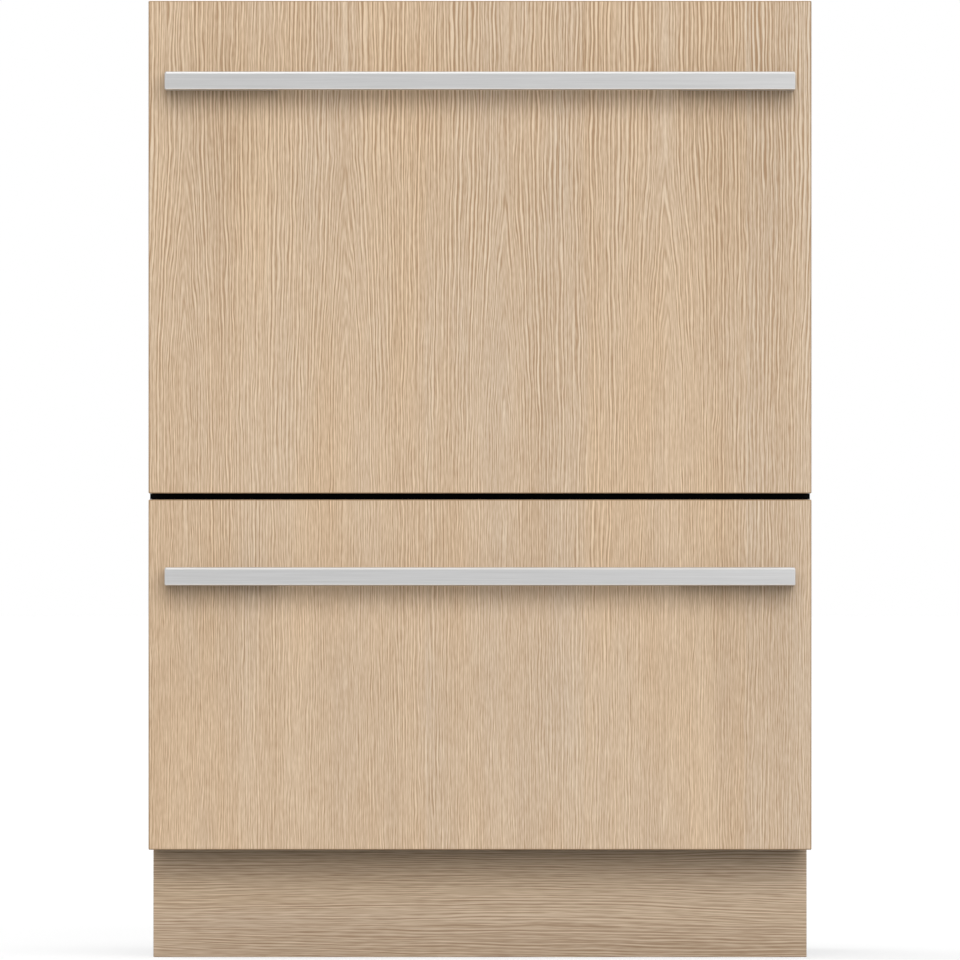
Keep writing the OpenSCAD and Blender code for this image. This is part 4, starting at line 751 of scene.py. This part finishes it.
for level in LEVELS:
    for name in ("power", "program", "start"):
        piece(f"{level}_{name}_button_cap", dished_button(level, name), "button_plastic",
              f"{level}_{name}_button", (f"{level}_{name}_button",))
    _, (_, _, strip_top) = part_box(level + "_control_strip")
    window = block((DISPLAY_X[0], DISPLAY_Y[0], strip_top - 1.2 * MM),
                   (DISPLAY_X[1], DISPLAY_Y[1], strip_top - 0.3 * MM))
    piece(level + "_display_window", [window], "display_glass", level + "_drawer",
          bevel=0.2 * MM)
for corner in ("front_left", "front_right", "rear_left", "rear_right"):
    piece(f"levelling_foot_{corner}", levelling_foot("foot_" + corner), "foot_plastic", "foot_" + corner,
          ("foot_" + corner,))

thread = threaded(13.1 * MM, 0.4 * MM, 1.8 * MM, start=281 * MM, end=297 * MM, centre=INLET, axis="y",
                  bore=12 * MM)
piece("inlet_thread", [thread], "valve_plastic", "chassis")
# Each hose barb is a cone that steps back at its wide end
barbs = np.vstack([*(BARB + (0, BARB_PITCH * k) for k in range(3)), SPIGOT_BORE])
piece("drain_barbs", [turned(barbs * MM, DRAIN, "y", 40, looped=True)], "drain_plastic", "chassis")


# ---------------------------------------------------------------- eased copies

BODY = {node: body for body, nodes in frame["record"]["behaviour"]["bodies"].items() for node in nodes}


def eased(node, material, width):
    """Copy of a CAD node with its triangles merged to flat faces and its edges eased by a bevel."""
    work = bmesh.new()
    work.from_mesh(frame["nodes"][node].data)
    bmesh.ops.remove_doubles(work, verts=work.verts, dist=0.002 * MM)
    bmesh.ops.dissolve_limit(work, angle_limit=math.radians(0.5), verts=work.verts, edges=work.edges)
    mesh = bpy.data.meshes.new(node + "_eased")
    work.to_mesh(mesh)
    work.free()
    mesh.materials.clear()
    finish_mesh(mesh, node + "_eased", material, BODY[node], (node,), width * MM)


# Finish, width in millimetres of the eased edge, and the nodes that get them
EASED = {
    ("runner_steel", 0.4): ["runner_outer_channels"],
    ("actuator_plastic", 0.6): ["lid_actuators"],
    ("valve_plastic", 1.0): ["inlet_valve"],
    ("drain_plastic", 1.0): ["drain_outlet"],
    ("terminal_plastic", 1.0): ["mains_terminal"],
}
for level in LEVELS:
    for key, parts in {
            ("runner_steel", 0.4): ["runner_middles", "runner_inners"], ("yoke_steel", 0.5): ["lid_yokes"],
            ("frame_steel", 0.3): ["front_frame"], ("control_strip_plastic", 0.6): ["control_strip"],
            ("pump_plastic", 1.2): ["wash_pump"], ("dispenser_plastic", 0.6): ["dispenser"],
            ("dispenser_door_plastic", 0.6): ["dispenser_door"], ("lid_plastic", 1.2): ["lid"],
            ("link_plastic", 0.5): ["link_rear", "link_front"]}.items():
        EASED.setdefault(key, []).extend(level + "_" + part for part in parts)
for (material, width), nodes in EASED.items():
    for node in nodes:
        eased(node, material, width)


# ---------------------------------------------------------------- carried-over CAD nodes

CARRIED = {
    "galvanised_steel": ["chassis_wrap", "chassis_roof"],
    "tray_steel": ["base_tray"],
    "black_painted_steel": ["front_brace"],
    "gasket_rubber": ["upper_lid_gasket", "lower_lid_gasket"],
    "filter_steel": ["upper_filter", "lower_filter"],
}
for slot, nodes in CARRIED.items():
    for node in nodes:
        for material_slot in frame["nodes"][node].material_slots:
            material_slot.material = MATERIAL[slot]


# ---------------------------------------------------------------- floor, light and camera

FLOOR_HALF = 60
FLOOR_GLOW, FILL_GLOW, WHITE_GLOW = 0.66, 0.30, 1.0     # of the floor, the sky's light, and the white behind


def seen_directly(tree):
    """1 for what is seen, in a mirror or through glass too, and 0 for the light on dull surfaces."""
    path = {kind: add(tree, "LightPath", out=kind)
            for kind in ("Is Camera Ray", "Is Glossy Ray", "Is Transmission Ray", "Diffuse Depth")}
    seen = add(tree, "Math", (path["Is Camera Ray"], path["Is Glossy Ray"]), operation="MAXIMUM")
    seen = add(tree, "Math", (seen, path["Is Transmission Ray"]), operation="MAXIMUM")
    return add(tree, "Math", (seen, path["Diffuse Depth"]), operation="SUBTRACT", use_clamp=True)


def studio_floor(tree):
    """Pale floor: diffuse, with most of its white given off to what the camera and mirrors see."""
    glow = add(tree, "Math", (seen_directly(tree), FLOOR_GLOW), operation="MULTIPLY")
    glow = add(tree, "Emission", {"Color": (1, 1, 1, 1), "Strength": glow})
    return add(tree, "AddShader", (add(tree, "BsdfDiffuse", {"Color": rgb("A6A6A6")}), glow))


ground = bpy.data.meshes.new("studio_floor")
ground.from_pydata([(x * FLOOR_HALF, y * FLOOR_HALF, 0) for x, y in ((-1, -1), (1, -1), (1, 1), (-1, 1))],
                   [], [(0, 1, 2, 3)])
ground.materials.append(finish("studio_floor", studio_floor))
floor = bpy.data.objects.new("studio_floor", ground)
bpy.context.collection.objects.link(floor)

world = bpy.data.worlds.new("studio")
world.use_nodes = True
bpy.context.scene.world = world
tree = world.node_tree
tree.nodes.clear()
fill = add(tree, "Background", {"Color": (1, 1, 1, 1), "Strength": FILL_GLOW})
white = add(tree, "Background", {"Color": (1, 1, 1, 1), "Strength": WHITE_GLOW})
add(tree, "OutputWorld", {"Surface": add(tree, "MixShader", (seen_directly(tree), fill, white))})


def lamp(name, azimuth, elevation, strength, angle, mirrored=True, spread=True):
    """Distant soft lamp: azimuth 0 shines from the front, 90 from the right.

    One that isn't mirrored lights dull surfaces alone, and one without spread glossy ones alone.
    """
    data = bpy.data.lights.new(name, "SUN")
    data.energy, data.angle = strength, math.radians(angle)
    thing = bpy.data.objects.new(name, data)
    thing.visible_glossy, thing.visible_diffuse = mirrored, spread
    thing.rotation_euler = (math.radians(90 - elevation), 0, math.radians(azimuth))
    bpy.context.collection.objects.link(thing)


lamp("key_lamp", 6, 19, 2.13, 44, mirrored=False)
lamp("ceiling_lamp", 0, 86, 1.0, 44, mirrored=False)
lamp("top_lamp", 0, 88, 0.5, 60, spread=False)
lamp("back_lamp", 205, 40, 0.8, 30, mirrored=False)

# Bright card before the right-hand side, seen only in glossy surfaces: the handles lighten towards it
card = bpy.data.lights.new("card_lamp", "AREA")
card.shape, card.size, card.size_y, card.energy = "RECTANGLE", 1.0, 1.6, 3.3
card_lamp = bpy.data.objects.new("card_lamp", card)
card_lamp.location, card_lamp.rotation_euler = (0.92, -1.3, 0.45), (math.radians(90), 0, 0)
card_lamp.visible_camera = card_lamp.visible_diffuse = card_lamp.visible_transmission = False
bpy.context.collection.objects.link(card_lamp)

# Long lens square on to the fronts, so that both handles show no top or underside
LENS, SENSOR, FRAME_HEIGHT, EYE_HEIGHT = 1000, 36, 0.86735, 0.4321
camera_data = bpy.data.cameras.new("camera")
camera_data.lens, camera_data.sensor_width, camera_data.clip_end = LENS, SENSOR, 200
camera = bpy.data.objects.new("camera", camera_data)
camera.location = (0.0, FACE_Y - FRAME_HEIGHT * LENS / SENSOR, EYE_HEIGHT)
camera.rotation_euler = (math.radians(90), 0, 0)
bpy.context.collection.objects.link(camera)
bpy.context.scene.camera = camera
bpy.context.scene.view_settings.view_transform = "Standard"
